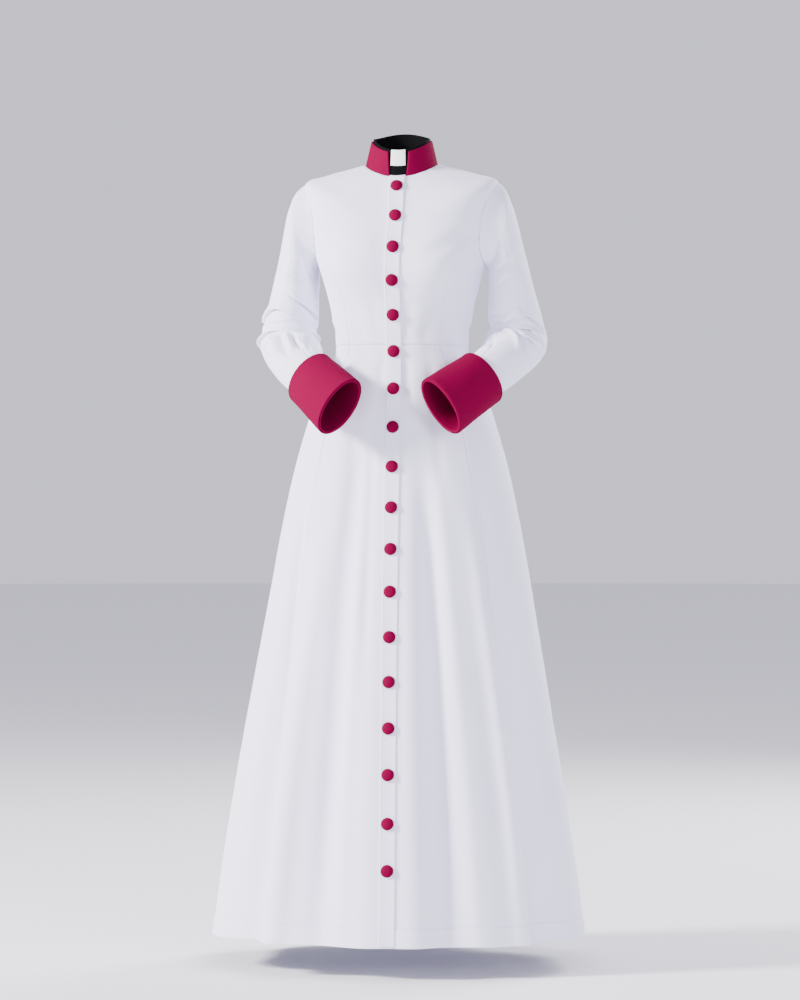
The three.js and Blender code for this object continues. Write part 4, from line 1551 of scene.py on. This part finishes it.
@dataclass
class Sleeve:
    """A two-piece sleeve and its turned-back cuff with a facing.

    Attributes:
        hand: the wearer's side. The right is laid as the left and mirrored.
        sunk: how far the sleeve's edge is turned in at the armhole's seam, mm.
    """

    hand: Hand
    sunk: float = 0.7

    # Sections between which the rows lie closer at the elbow, and the rows' spacing in sections.
    CAP_END, BEND_START, BEND_END = 0.2, 6.5, 11.0
    CAP_ROWS, UPPER_STEP, BEND_STEP, CUFF_STEP = 6, 0.09, 0.045, 0.1
    NORMAL_STEP = 1.5
    # The cloth's small unevenness: its height in mm, and its waves for each section and turn.
    WANDER, WANDER_ROWS, WANDER_TURNS = 0.5, 1.9, 2
    # The creases die away at the armhole and over this section, inside the cuff.
    LAST_CREASE, FADE_ROWS = 13.2, 1.2
    # Degrees from each seam to the columns beside it, and to the first of the even ones.
    SEAM_TURNS, EVEN_TURNS = np.array([0.0, 0.5, 1.2, 2.4]), 4
    # The cuff's even rows, how far its edges roll in, and its waviness in mm, calm this near the edges.
    CUFF_ROWS, CUFF_ROLL, CUFF_WAVE, CUFF_CALM = 14, 0.9, 1.1, 12
    # The cuts: name, and the solids' columns at which it starts and ends.
    CUTS = (("top", -8, 9), ("under", 9, 16))

    def skin(self, turns: np.ndarray) -> tuple[np.ndarray, np.ndarray]:
        """The sleeve's smooth outer surface.

        Args:
            turns: degrees from the outside, by the front.

        Returns:
            Points shaped (rows, turns, 3), and each row's section number.
        """
        controls = [self.armhole(turns)]
        arm = (*SLEEVE, CUFF_EDGE, CUFF_MOUTH)
        controls += [section_loop(section_frame(arm, k), turns) for k in range(len(SLEEVE))]
        controls += [cuff_loop(t, sleeve_inset(t), turns) for t in CUFF_STATIONS]
        controls = np.stack(controls)
        steps = np.concatenate(
            [
                np.linspace(0, self.CAP_END, self.CAP_ROWS)[:-1],
                np.arange(self.CAP_END, self.BEND_START, self.UPPER_STEP),
                np.arange(self.BEND_START, self.BEND_END, self.BEND_STEP),
                np.arange(self.BEND_END, len(controls) - 1 + TINY, self.CUFF_STEP),
            ]
        )
        return through(controls, steps), steps - 1

    def surface(self, turns: np.ndarray) -> tuple[np.ndarray, np.ndarray]:
        """The sleeve's outer surface with its elbow folds and creases.

        Args:
            turns: degrees from the outside, by the front.

        Returns:
            Points and normals shaped (rows, turns, 3).
        """
        points, rows = self.skin(turns)
        round_it = self.skin(turns + self.NORMAL_STEP)[0] - self.skin(turns - self.NORMAL_STEP)[0]
        ahead = np.gradient(points, axis=0)
        normal = np.cross(round_it, ahead)
        normal /= np.linalg.norm(normal, axis=-1, keepdims=True)
        ahead /= np.linalg.norm(ahead, axis=-1, keepdims=True)
        height, overhang = self.relief(rows, turns)
        return points + normal * height[..., None] + ahead * overhang[..., None], normal

    def armhole(self, turns: np.ndarray) -> np.ndarray:
        """The sleeve's edge at the armhole.

        Args:
            turns: degrees from the outside, by the front.

        Returns:
            Points shaped (turns, 3), on the wearer's left.
        """
        angles, levels = armhole_path()
        at = turns / (360 / RING) % RING
        period = np.arange(RING + 1)
        angle = np.interp(at, period, np.append(angles, angles[0]))
        level = np.interp(at, period, np.append(levels, levels[0]))
        edge = self.handed(BODY.points(self.hand.value * angle, level, -self.sunk))
        middle = edge.mean(axis=0)
        inward = (middle - edge) / np.linalg.norm(middle - edge, axis=1, keepdims=True)
        return edge + inward * TUCK

    def relief(self, rows: np.ndarray, turns: np.ndarray) -> np.ndarray:
        """Height and overhang of the sleeve's folds and creases.

        Args:
            rows: section numbers.
            turns: degrees from the outside, by the front.

        Returns:
            Millimetres outward and millimetres down the sleeve, shaped (2, rows, turns).
        """
        row, turn = np.meshgrid(rows, turns, indexing="ij")
        made = np.zeros((2,) + row.shape)
        for fold in ELBOW_FOLDS:
            off = ((turn - fold.side + 180) % 360 - 180) / fold.spread
            made[0] += fold.rise * np.exp(-(((row - fold.row) / fold.width) ** 2) - off**2)
        for crease in SLEEVE_CREASES[self.hand]:
            made += crease.shape(turn, row, np.full_like(turn, TURN_RUN), ROW_RUN)
        down, round_it = row * self.WANDER_ROWS, np.radians(turn) * self.WANDER_TURNS
        made[0] += self.WANDER * unevenness(down, round_it, seed=2.3 * self.hand.value)
        fade = smooth((row + 1) / self.FADE_ROWS) * smooth((self.LAST_CREASE - row) / self.FADE_ROWS)
        return made * fade

    def handed(self, points: np.ndarray) -> np.ndarray:
        """Mirrors points between the left side and the sleeve's own.

        Args:
            points: any points on one of the two.

        Returns:
            The points on the other, which is the same side for the left sleeve.
        """
        return points * np.array([self.hand.value, 1, 1])

    def sheet(self, first: float, last: float) -> Sheet:
        """One piece of the sleeve between two turns.

        Args:
            first, last: degrees from the outside, by the front.

        Returns:
            The piece as a shell.
        """
        count = int((last - first) / 360 * TURNS_ROUND)
        even = np.linspace(first + self.EVEN_TURNS, last - self.EVEN_TURNS, count)
        turns = np.concatenate([first + self.SEAM_TURNS, even, last - self.SEAM_TURNS[::-1]])
        points, normal = self.surface(turns)
        across, down = lengths(points, axis=1), lengths(points, axis=0)
        relief = edge_relief(PRESSED, across, down) + edge_relief(PRESSED, across[:, -1:] - across, down)
        relief = relief + edge_relief(CAP, down, across)
        outer = points + normal * relief[..., None]
        depth = CLOTH + ALLOWANCE * bell(down, ALLOWANCE_REACH)
        return Sheet(self.handed(outer), self.handed(outer - normal * depth[..., None]), across, down)

    def cuff(self) -> list[tuple[str, Sheet]]:
        """The cuff's outer layer and its facing.

        Returns:
            Name and shell of each.
        """
        turns = np.arange(0, 360, 360 / TURNS_ROUND)
        length = float(np.linalg.norm(CUFF_MOUTH.middle - CUFF_EDGE.middle))
        lips = LIPS / length
        even = np.linspace(lips[-1], 1 - lips[-1], self.CUFF_ROWS + 2)[1:-1]
        face_t = np.concatenate([lips, even, 1 - lips[::-1]])
        gap = np.minimum(face_t, 1 - face_t) * length
        turn_in = self.CUFF_ROLL * bell(gap, 1.0)
        wave = self.CUFF_WAVE * unevenness(np.radians(turns)[None, :] * 2, face_t[:, None] * 3, seed=4.1)
        outer = np.stack([cuff_loop(t, d, turns) for t, d in zip(face_t, turn_in)])
        inner = np.stack([cuff_loop(t, CUFF_WALL - d * 0.8, turns) for t, d in zip(face_t, turn_in)])
        nudge = grid_normals(outer, wrap=True)
        nudge *= np.sign((nudge * (outer - outer.mean(axis=1, keepdims=True))).sum())
        nudge = nudge * (wave * smooth(gap / self.CUFF_CALM)[:, None])[..., None]
        face = self.ring(outer + nudge, inner + nudge, face_t * length)
        # The facing starts behind the sleeve's end, and its edge rolls out to meet the cuff's at the mouth.
        sleeve_end = CUFF_STATIONS[-1]
        even = np.linspace(CUFF_STATIONS[1], sleeve_end, self.CUFF_ROWS)
        back_t = np.concatenate([even, [0.95, 0.975, 1 - 1.2 / length, 1.0]])
        behind = np.array([sleeve_inset(min(t, sleeve_end)) + SOLID_CLOTH + SEAM for t in back_t])
        roll = np.concatenate([np.zeros(self.CUFF_ROWS), [0.9, 2.0, 2.5, 2.3]])
        depths = behind + FACING_WALL - 0.3 * roll
        lining = np.stack([cuff_loop(t, depth, turns) for t, depth in zip(back_t, depths)])
        hidden = np.stack([cuff_loop(t, depth, turns) for t, depth in zip(back_t, behind - roll)])
        facing = self.ring(lining, hidden, back_t * length)
        return [("cuff", face), ("cuff_facing", facing)]

    def ring(self, outer: np.ndarray, inner: np.ndarray, down: np.ndarray) -> Sheet:
        """Closes loops into a ring of cloth.

        Args:
            outer, inner: shaped (rows, turns, 3), on the left.
            down: each row's distance, mm.

        Returns:
            The ring as a shell.
        """
        across = ring_lengths(outer)
        down = np.broadcast_to(down[:, None], across.shape)
        return Sheet(self.handed(outer), self.handed(inner), across, down, wrap=True)

    def build(self) -> None:
        """Makes the sleeve's pieces."""
        per_column = 360 / RING
        side = self.hand.suffix
        for cut, first, last in self.CUTS:
            name = f"sleeve_{cut}_{side}"
            add_cloth(f"{name}_cloth", self.sheet(first * per_column, last * per_column), WHITE, [name])
        for cut, sheet in self.cuff():
            name = f"{cut}_{side}"
            add_cloth(f"{name}_cloth", sheet, MAGENTA, [name])


# ---------------------------------------------------------------------------------------------------
# Collar, placket and buttons
# ---------------------------------------------------------------------------------------------------


@dataclass
class Collar:
    """The stand collar, its black neckband and the white tab in its gap.

    Attributes:
        tall: height of the magenta band, mm.
        lean_side, lean_front, lean_back: how far it leans in by its top.
        wall: its thickness.
        gap_base, gap_top: half the gap at the front, below and above.
        band_tall, band_wall: the neckband's height and thickness.
        tab_wide, tab_tall, tab_wall: the tab's sizes.
        sunk: how far the lower edge goes down into the seam.
    """

    tall: float = 42
    lean_side: float = 10
    lean_front: float = 5
    lean_back: float = 2
    wall: float = 2.4
    gap_base: float = 15
    gap_top: float = 20
    band_tall: float = 46.5
    band_wall: float = 1.8
    tab_wide: float = 28
    tab_tall: float = 28
    tab_wall: float = 1.2
    sunk: float = 1.3

    # The band's length round the neck at its foot, and how much longer it is on its face higher up.
    ROUND, STRETCH = 334, 1.05
    # The bands' rows: at the foot, rolling over at the top, and evenly between these.
    HEAD, EVEN_ROWS, EVEN_MARGIN = np.array([1.3, 0.6, 0.15, 0.0]), 12, 2.5
    FOOT_ROLL, HEAD_ROLL = (0.5, 0.2, 0.0), (0.06, 0.25, 0.6, 1.0)
    # The magenta band's columns: beside the gap, and evenly from here on.
    LIPS, EVEN_COLUMNS, EVEN_START = np.array([0.0, 0.4, 0.9, 1.7, 3.0]), 150, 5
    # How far its ends roll in, over what length, and how wavy its face is.
    END_ROLL, END_WIDTH, WAVE = 0.9, 0.8, 0.25
    # The tab's columns on one side of its middle and its rows, as shares, and how its edges are pressed.
    TAB_COLUMNS = np.array([0.25, 0.5, 0.75, 0.9, 0.95, 0.985, 1])
    TAB_ROWS = np.array([0, 0.02, 0.05, 0.1, 0.3, 0.5, 0.7, 0.9, 0.95, 0.98, 1])
    TAB_PRESS, TAB_PRESS_MOST = 0.45, 0.6

    def points(self, angle: np.ndarray, up: np.ndarray, inward: np.ndarray) -> np.ndarray:
        """Points of the collar.

        Args:
            angle: degrees from the centre front.
            up: height above the neck seam, mm.
            inward: how far in from the magenta band's face, mm.

        Returns:
            Points in mm.
        """
        angle, up, inward = np.broadcast_arrays(angle, up, inward)
        base = BODY.plain(angle.astype(float), np.zeros(angle.shape))
        c = np.cos(np.radians(angle))
        ends = np.where(c > 0, self.lean_front, self.lean_back)
        lean = (self.lean_side + (ends - self.lean_side) * c * c) * np.maximum(up / self.tall, 0)
        reach = np.hypot(base[..., 0], base[..., 1])
        scale = (reach - lean - inward) / reach
        return np.stack([base[..., 0] * scale, base[..., 1] * scale, base[..., 2] + SEAM + up], axis=-1)

    def start(self, x: float) -> float:
        """The angle at a distance from the centre front.

        Args:
            x: the distance, mm.

        Returns:
            Degrees.
        """
        return float(BODY.angle_across(x, np.zeros(1))[0])

    def heights(self, tall: float) -> tuple[np.ndarray, np.ndarray]:
        """Rows of a band and how far each turns in at the rolled top.

        Args:
            tall: the band's height.

        Returns:
            Heights, and how far in each lies.
        """
        foot = [-self.sunk, 0.3 - self.sunk, 0.6]
        even = np.linspace(self.EVEN_MARGIN, tall - self.EVEN_MARGIN, self.EVEN_ROWS)
        up = np.concatenate([foot, even, tall - self.HEAD])
        roll = np.concatenate([self.FOOT_ROLL, np.zeros(self.EVEN_ROWS), self.HEAD_ROLL])
        return up, roll

    def band(self) -> Sheet:
        """The magenta band.

        Returns:
            Its shell, open at the front.
        """
        up, roll = self.heights(self.tall)
        gap = self.gap_base + (self.gap_top - self.gap_base) * up / self.tall
        start = np.array([self.start(g) for g in gap])
        lips, first = self.LIPS / self.ROUND, self.EVEN_START / self.ROUND
        share = np.concatenate([lips, np.linspace(first, 1 - first, self.EVEN_COLUMNS), 1 - lips[::-1]])
        angle = start[:, None] + (360 - 2 * start[:, None]) * share[None, :]
        edge = np.minimum(share, 1 - share) * self.ROUND * self.STRETCH
        turn_in = roll[:, None] + self.END_ROLL * bell(edge, self.END_WIDTH)[None, :]
        wave = self.WAVE * unevenness(np.radians(angle) * 3, up[:, None] / 20, seed=0.4)
        outer = self.points(angle, up[:, None], turn_in - wave * smooth(edge / 8))
        inner = self.points(angle, up[:, None], self.wall - 0.7 * turn_in)
        across = lengths(outer, axis=1)
        return Sheet(outer, inner, across, np.broadcast_to(self.tall - up[:, None], across.shape))

    def neckband(self) -> Sheet:
        """The black band inside, a closed ring.

        Returns:
            Its shell.
        """
        up, roll = self.heights(self.band_tall)
        angle = np.arange(0, 360, 2.0)
        depth = self.wall + 2 * SEAM
        outer = self.points(angle[None, :], up[:, None], depth + roll[:, None] * 0.7)
        inner = self.points(angle[None, :], up[:, None], depth + self.band_wall - roll[:, None] * 0.7)
        across = ring_lengths(outer)
        down = np.broadcast_to(self.band_tall - up[:, None], across.shape)
        return Sheet(outer, inner, across, down, wrap=True)

    def tab(self) -> Sheet:
        """The white tab.

        Returns:
            Its shell.
        """
        reach = self.start(self.tab_wide / 2)
        share = np.concatenate([-self.TAB_COLUMNS[::-1], [0], self.TAB_COLUMNS])
        up = self.band_tall - SEAM - self.tab_tall * (1 - self.TAB_ROWS)
        edge_x = (1 - np.abs(share)) * self.tab_wide / 2
        edge_y = np.minimum(up - up[0], up[-1] - up)
        sink = self.TAB_PRESS * (bell(edge_x[None, :], 0.5) + bell(edge_y[:, None], 0.6))
        depth = self.wall - self.tab_wall + np.minimum(sink, self.TAB_PRESS_MOST)
        outer = self.points(share[None, :] * reach, up[:, None], depth)
        inner = self.points(share[None, :] * reach, up[:, None], np.full_like(sink, self.wall))
        across = np.broadcast_to(share[None, :] * self.tab_wide / 2, sink.shape)
        return Sheet(outer, inner, across, np.broadcast_to(up[:, None], sink.shape))

    def build(self) -> None:
        """Makes the collar's pieces."""
        add_cloth("collar_cloth", self.band(), MAGENTA, ["collar"])
        add_cloth("neckband_cloth", self.neckband(), BLACK, ["neckband"])
        add_cloth("collar_tab_linen", self.tab(), TAB, ["collar_tab"])


# A place on the centre line has to lie on one of its sides, so it lies this far to the right, mm.
OFF_CENTRE = -0.01


@dataclass
class Placket:
    """The strip over the centre front. Its left edge is a free fold and its right edge is stitched.

    Attributes:
        half: half its width, mm.
        wall: how far its face stands off the panels.
    """

    half: float = 14
    wall: float = 1.8

    # The free fold lifts off the panel a little over this width; both edges are rolled.
    LIFT, LIFT_WIDTH = 0.35, 3.0
    LEFT_ROLL, LEFT_WIDTH = 1.1, 0.5
    RIGHT_ROLL, RIGHT_WIDTH = 1.0, 0.8
    # Distances of the columns in from each edge, and rows above and below the waist.
    LIPS = np.array([0, 0.3, 0.8, 1.6, 3, 6, 10])
    ROWS_ABOVE, ROWS_BELOW = 90, 190

    def face(self, x: np.ndarray, level: np.ndarray) -> np.ndarray:
        """Points of the placket's face.

        Args:
            x: distances from the centre line, mm.
            level: fractional levels.

        Returns:
            Points shaped (levels, x, 3).
        """
        out = SEAM + self.wall
        left, right = self.half - x, self.half + x
        rise = np.where(x > 0, self.LIFT * bell(left, self.LIFT_WIDTH), 0.0)
        fall = self.RIGHT_ROLL * bell(right, self.RIGHT_WIDTH) + self.LEFT_ROLL * bell(left, self.LEFT_WIDTH)
        columns = []
        for value, lift in zip(x, out + rise - fall):
            angle = BODY.angle_across(value, level) if value else np.zeros_like(level)
            columns.append(BODY.points(angle, level, lift))
        return np.stack(columns, axis=1)

    def sheet(self) -> Sheet:
        """The strip.

        Returns:
            Its shell.
        """
        x = np.concatenate([self.LIPS - self.half, [OFF_CENTRE], self.half - self.LIPS[::-1]])
        above, below = np.linspace(0.0, WAIST, self.ROWS_ABOVE), np.linspace(WAIST, HEM, self.ROWS_BELOW)
        level = np.concatenate([above, below[1:]])
        outer = self.face(x, level)
        back = [BODY.points(BODY.angle_across(v, level), level, np.full_like(level, SEAM)) for v in x]
        inner = np.stack(back, axis=1)
        down = lengths(outer)
        return Sheet(outer, inner, np.broadcast_to(x[None, :] + self.half, down.shape), down)

    def build(self) -> None:
        """Makes the strip."""
        add_cloth("placket_cloth", self.sheet(), WHITE, ["placket"])


@dataclass
class ButtonRow:
    """Covered buttons down the placket: domes with their cloth drawn round the rim.

    Attributes:
        count: how many.
        radius, tall: of one button, mm.
        first: height of the top one.
        gap_top, gap_more: distance between the top two, and how much it grows by the hem.
    """

    count: int = 18
    radius: float = 11
    tall: float = 7
    first: float = -43
    gap_top: float = 53
    gap_more: float = 28

    # From the crown round the rim to the back: shares of the radius and of the height.
    PROFILE = np.array(
        [
            [0.004, 1.0], [0.06, 0.999], [0.2, 0.993], [0.4, 0.955], [0.58, 0.88], [0.74, 0.765],
            [0.86, 0.62], [0.94, 0.47], [0.985, 0.32], [1.0, 0.2], [0.985, 0.09], [0.94, 0.02], [0.9, 0.0],
        ]
    )
    # Degrees between columns, how far the drawn cover is gathered, and the shell inside as a share.
    TURN, GATHER, HOLLOW = 6, 0.105, np.array([0.86, 0.86, 0.8])
    # How far apart the covers were cut from the cloth, and the line of the placket that a button rests on.
    CLOTH_SHIFT, SEED_STEP = 40, 1.7
    SEAT, SEAT_ROWS, SEAT_GAP = np.array([-8.0, OFF_CENTRE, 8.0]), 900, 0.1
    GROWTH = 1.5

    def heights(self) -> list[float]:
        """Heights of the buttons.

        Returns:
            From the top down, mm.
        """
        z, out = self.first, []
        for k in range(self.count):
            out.append(z)
            z -= self.gap_top + self.gap_more * (1 - max(0, 1 - k / (self.count - 2)) ** self.GROWTH)
        return out

    def dome(self, seed: float) -> Sheet:
        """One button, its axis along +Z, its back at 0.

        Args:
            seed: shifts the cloth's small unevenness.

        Returns:
            Its shell.
        """
        turns = np.radians(np.arange(0, 360, self.TURN))
        r, h = self.PROFILE[:, :1] * self.radius, self.PROFILE[:, 1:] * self.tall
        gather = unevenness(turns * 3, h / 3, seed) * smooth((self.tall * 0.75 - h) / 3)
        r = r + self.GATHER * gather
        outer = np.stack([r * np.cos(turns), r * np.sin(turns), np.broadcast_to(h, r.shape)], -1)
        inner = outer * self.HOLLOW
        across = r * np.cos(turns) + seed * self.CLOTH_SHIFT
        down = r * np.sin(turns) + h * 0.5
        return Sheet(outer, inner, across, down, wrap=True)

    def build(self, placket: Placket) -> None:
        """Seats the buttons on the placket.

        Args:
            placket: the strip that carries them.
        """
        line = placket.face(self.SEAT, np.linspace(0, HEM, self.SEAT_ROWS)).mean(axis=1)
        for k, z in enumerate(self.heights()):
            top, foot = (int(np.argmin(np.abs(line[:, 2] - (z + d)))) for d in (self.radius, -self.radius))
            here = int(np.argmin(np.abs(line[:, 2] - z)))
            down = line[foot] - line[top]
            down /= np.linalg.norm(down)
            side = np.array([1.0, 0.0, 0.0])
            outward = np.cross(down, side)
            outward /= np.linalg.norm(outward)
            outward = outward if outward[1] < 0 else -outward
            basis = np.stack([np.cross(outward, np.cross(down, outward)), np.cross(down, outward), outward])
            sheet = self.dome(k * self.SEED_STEP)
            near = line[min(top, foot) : max(top, foot) + 1]
            lift = float(((near - line[here]) @ outward).max())
            seat = line[here] + outward * (lift + self.SEAT_GAP)
            sheet.outer, sheet.inner = (points @ basis + seat for points in (sheet.outer, sheet.inner))
            name = f"button_{k + 1:02d}"
            add_piece(f"{name}_cover", sheet.mesh(f"{name}_cover"), MAGENTA, [name])


# ---------------------------------------------------------------------------------------------------
# Stitching
# ---------------------------------------------------------------------------------------------------


@dataclass
class Stitching:
    """Rows of machine stitches: each stitch a short bead of thread sunk a little at both ends.

    Attributes:
        name: the piece's name.
        finish: the thread.
        length, gap: of one stitch and to the next, mm.
        width: half its width.
        beads: the stitches' points and faces so far.
    """

    name: str
    finish: Thread
    length: float = 2.6
    gap: float = 0.9
    width: float = 0.34
    beads: list[np.ndarray] = field(default_factory=list)

    SIDES = 6
    RISE = np.array([0.15, 0.8, 1.0, 0.8, 0.15])
    # How flat the thread is pressed, and how far its middle lies above the cloth, as shares of its width.
    FLATNESS, PROUD = 0.8, 0.3

    def row(self, line: np.ndarray, normal: np.ndarray) -> None:
        """Adds a row of stitches.

        Args:
            line: points along the cloth's face, mm.
            normal: the face's outward normal at each.
        """
        run = lengths(line)
        starts = np.arange(self.gap, run[-1] - self.length, self.length + self.gap)
        spots = starts[:, None] + np.linspace(0, self.length, len(self.RISE))[None, :]
        at = np.stack([np.interp(spots, run, line[:, k]) for k in range(3)], -1)
        up = np.stack([np.interp(spots, run, normal[:, k]) for k in range(3)], -1)
        up /= np.linalg.norm(up, axis=-1, keepdims=True)
        ahead = at[:, -1:] - at[:, :1]
        side = np.cross(ahead, up)
        side /= np.linalg.norm(side, axis=-1, keepdims=True)
        turn = np.radians(np.arange(self.SIDES) * 360 / self.SIDES)[None, None, :, None]
        swell = (self.width * self.RISE)[None, :, None, None]
        ring = side[:, :, None] * np.cos(turn) + self.FLATNESS * up[:, :, None] * np.sin(turn)
        self.beads.append(at[:, :, None] + (ring + self.PROUD * up[:, :, None]) * swell)

    def build(self) -> bpy.types.Object:
        """Joins the rows into one piece.

        Returns:
            The new object.
        """
        beads = np.concatenate(self.beads)
        count, rings, sides = beads.shape[:3]
        i, j = np.meshgrid(np.arange(rings - 1), np.arange(sides), indexing="ij")
        here, ahead, after = i * sides, (i + 1) * sides, (j + 1) % sides
        wall = np.stack([here + j, here + after, ahead + after, ahead + j], -1).reshape(-1, 4)
        first, last = np.arange(sides)[::-1], np.arange(sides) + (rings - 1) * sides
        faces = []
        for bead in range(count):
            shift = bead * rings * sides
            faces += (wall + shift).tolist()
            faces += [(first + shift).tolist(), (last + shift).tolist()]
        mesh = bpy.data.meshes.new(self.name)
        mesh.from_pydata((beads.reshape(-1, 3) * MM).tolist(), [], faces)
        mesh.polygons.foreach_set("use_smooth", np.ones(len(mesh.polygons), bool))
        return add_piece(self.name, mesh, self.finish, [])


# Where the rows run, mm: above the hem, and across from the centre line.
HEM_STITCH = 33.0
PLACKET_STITCHES = (-11.6, 11.0)
FRONT_STITCHES = (18.5, 21.0)
# The waist's rows: degrees from the centre front at which they start and end, and levels above the seam.
WAIST_STITCHES = (8, 172)
WAIST_STITCH_UP = 0.05
# The upright rows start and end this many levels in from the neck and the hem.
STITCH_MARGINS = (0.12, 0.02)
# How far the turned-up hem and the pressed waist lift their rows, mm.
HEM_LIFT = 0.3
WAIST_LIFT = 0.2


def sew_body(placket: Placket) -> None:
    """Sews the hem, the placket's edges and the front panel beside it.

    Args:
        placket: the strip over the centre front.
    """
    thread = Stitching("body_stitches", WHITE_THREAD)
    angle = np.linspace(-180, 180, 1441)
    down = np.linspace(HEM - 1, HEM, 60)
    flank = BODY.plain(np.full_like(down, 90.0), down)[:, 2]
    level = float(np.interp(LEVELS[HEM].side + HEM_STITCH, flank[::-1], down[::-1]))
    round_it = np.full_like(angle, level)
    thread.row(BODY.points(angle, round_it, HEM_LIFT), BODY.normals(angle, round_it))
    level = np.linspace(STITCH_MARGINS[0], HEM - STITCH_MARGINS[1], 1200)
    for x in PLACKET_STITCHES:
        line = placket.face(np.array([x]), level)[:, 0]
        thread.row(line, BODY.normals(BODY.angle_across(x, level), level))
    for x in FRONT_STITCHES:
        angle = BODY.angle_across(x, level)
        thread.row(BODY.points(angle, level, 0.0), BODY.normals(angle, level))
    for hand in Hand:
        angle = hand.value * np.linspace(*WAIST_STITCHES, 700)
        level = np.full_like(angle, WAIST - WAIST_STITCH_UP)
        thread.row(BODY.points(angle, level, WAIST_LIFT), BODY.normals(angle, level))
    thread.build()


# ---------------------------------------------------------------------------------------------------
# Studio
# ---------------------------------------------------------------------------------------------------


@dataclass(frozen=True)
class Camera:
    """A long lens at the height of the robe's middle, a little to the wearer's left.

    Attributes:
        distance: from the robe, m.
        azimuth: degrees round from the front toward the wearer's left.
        height: m.
        aside: how far the view's middle lies to the left of the robe's, m.
        lens: mm on a 36 mm sensor.
        far: how far it sees, m.
    """

    distance: float = 6.6
    azimuth: float = 7.0
    height: float = -0.593
    aside: float = -0.0035
    lens: float = 134.2
    far: float = 80.0

    def build(self) -> None:
        """Makes the camera and the scene's view."""
        data = bpy.data.cameras.new("camera")
        data.lens = self.lens
        data.clip_end = self.far
        camera = bpy.data.objects.new("camera", data)
        bpy.context.scene.collection.objects.link(camera)
        turn = math.radians(self.azimuth)
        right = Vector((math.cos(turn), math.sin(turn), 0))
        camera.location = Vector((math.sin(turn), -math.cos(turn), 0)) * self.distance
        camera.location += right * self.aside + Vector((0, 0, self.height))
        camera.rotation_euler = (math.pi / 2, 0, turn)
        bpy.context.scene.camera = camera


@dataclass(frozen=True)
class Lamp:
    """A soft box.

    Attributes:
        name: the light's name.
        place: where it stands, m.
        aim: what it points at, m.
        size: its side, m.
        power: watts.
        colour: of its light.
    """

    name: str
    place: tuple[float, float, float]
    aim: tuple[float, float, float]
    size: float
    power: float
    colour: str

    def build(self) -> None:
        """Makes the light."""
        data = bpy.data.lights.new(self.name, "AREA")
        data.size = self.size
        data.energy = self.power
        data.color = linear(self.colour)[:3]
        lamp = bpy.data.objects.new(self.name, data)
        bpy.context.scene.collection.objects.link(lamp)
        lamp.location = self.place
        look = Vector(self.aim) - Vector(self.place)
        lamp.rotation_euler = look.to_track_quat("-Z", "Y").to_euler()


LAMPS = (
    Lamp("key", (-4.9, -2.3, 1.8), (0, 0, -0.7), 1.1, 1100, "#FFFDFC"),
    Lamp("fill", (3.2, -5.0, 0.2), (0, 0, -0.7), 1.6, 230, "#EFEDFF"),
    Lamp("back", (2.2, 3.4, 1.4), (0, 0, -0.5), 2.0, 300, "#FFFFFF"),
)
# The hem hangs this far above the floor, where shoe soles would stand, and the floor is this wide, m.
SOLE_DROP = 0.055
FLOOR_REACH = 30.0
FLOOR_SIDES = 96
ROOM_COLOUR = "#EBEAF8"
ROOM_LIGHT = 1.1


def build_studio() -> None:
    """Makes the floor, the lights and the even light of the room."""
    floor_z = LEVELS[HEM].side * MM - SOLE_DROP
    mesh = bpy.data.meshes.new("floor")
    turns = [math.tau * k / FLOOR_SIDES for k in range(FLOOR_SIDES)]
    rim = [(FLOOR_REACH * math.cos(turn), FLOOR_REACH * math.sin(turn), floor_z) for turn in turns]
    mesh.from_pydata(rim, [], [tuple(range(FLOOR_SIDES))])
    floor = bpy.data.objects.new("floor", mesh)
    bpy.context.scene.collection.objects.link(floor)
    mesh.materials.append(WARDROBE.of(FLOOR))
    for lamp in LAMPS:
        lamp.build()
    world = bpy.data.worlds.new("room")
    world.use_nodes = True
    background = world.node_tree.nodes["Background"]
    background.inputs["Color"].default_value = linear(ROOM_COLOUR)
    background.inputs["Strength"].default_value = ROOM_LIGHT
    bpy.context.scene.world = world


def main() -> None:
    """Builds the dressed robe."""
    logging.basicConfig(level=logging.INFO, format="%(name)s: %(message)s")
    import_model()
    Camera().build()
    build_studio()
    for hand in Hand:
        for panel in body_panels(hand):
            name = f"{panel.name}_{hand.suffix}"
            add_cloth(f"{name}_cloth", panel.sheet(), WHITE, [name])
        Sleeve(hand).build()
    Collar().build()
    placket = Placket()
    placket.build()
    ButtonRow().build(placket)
    sew_body(placket)


if __name__ == "__main__":
    main()
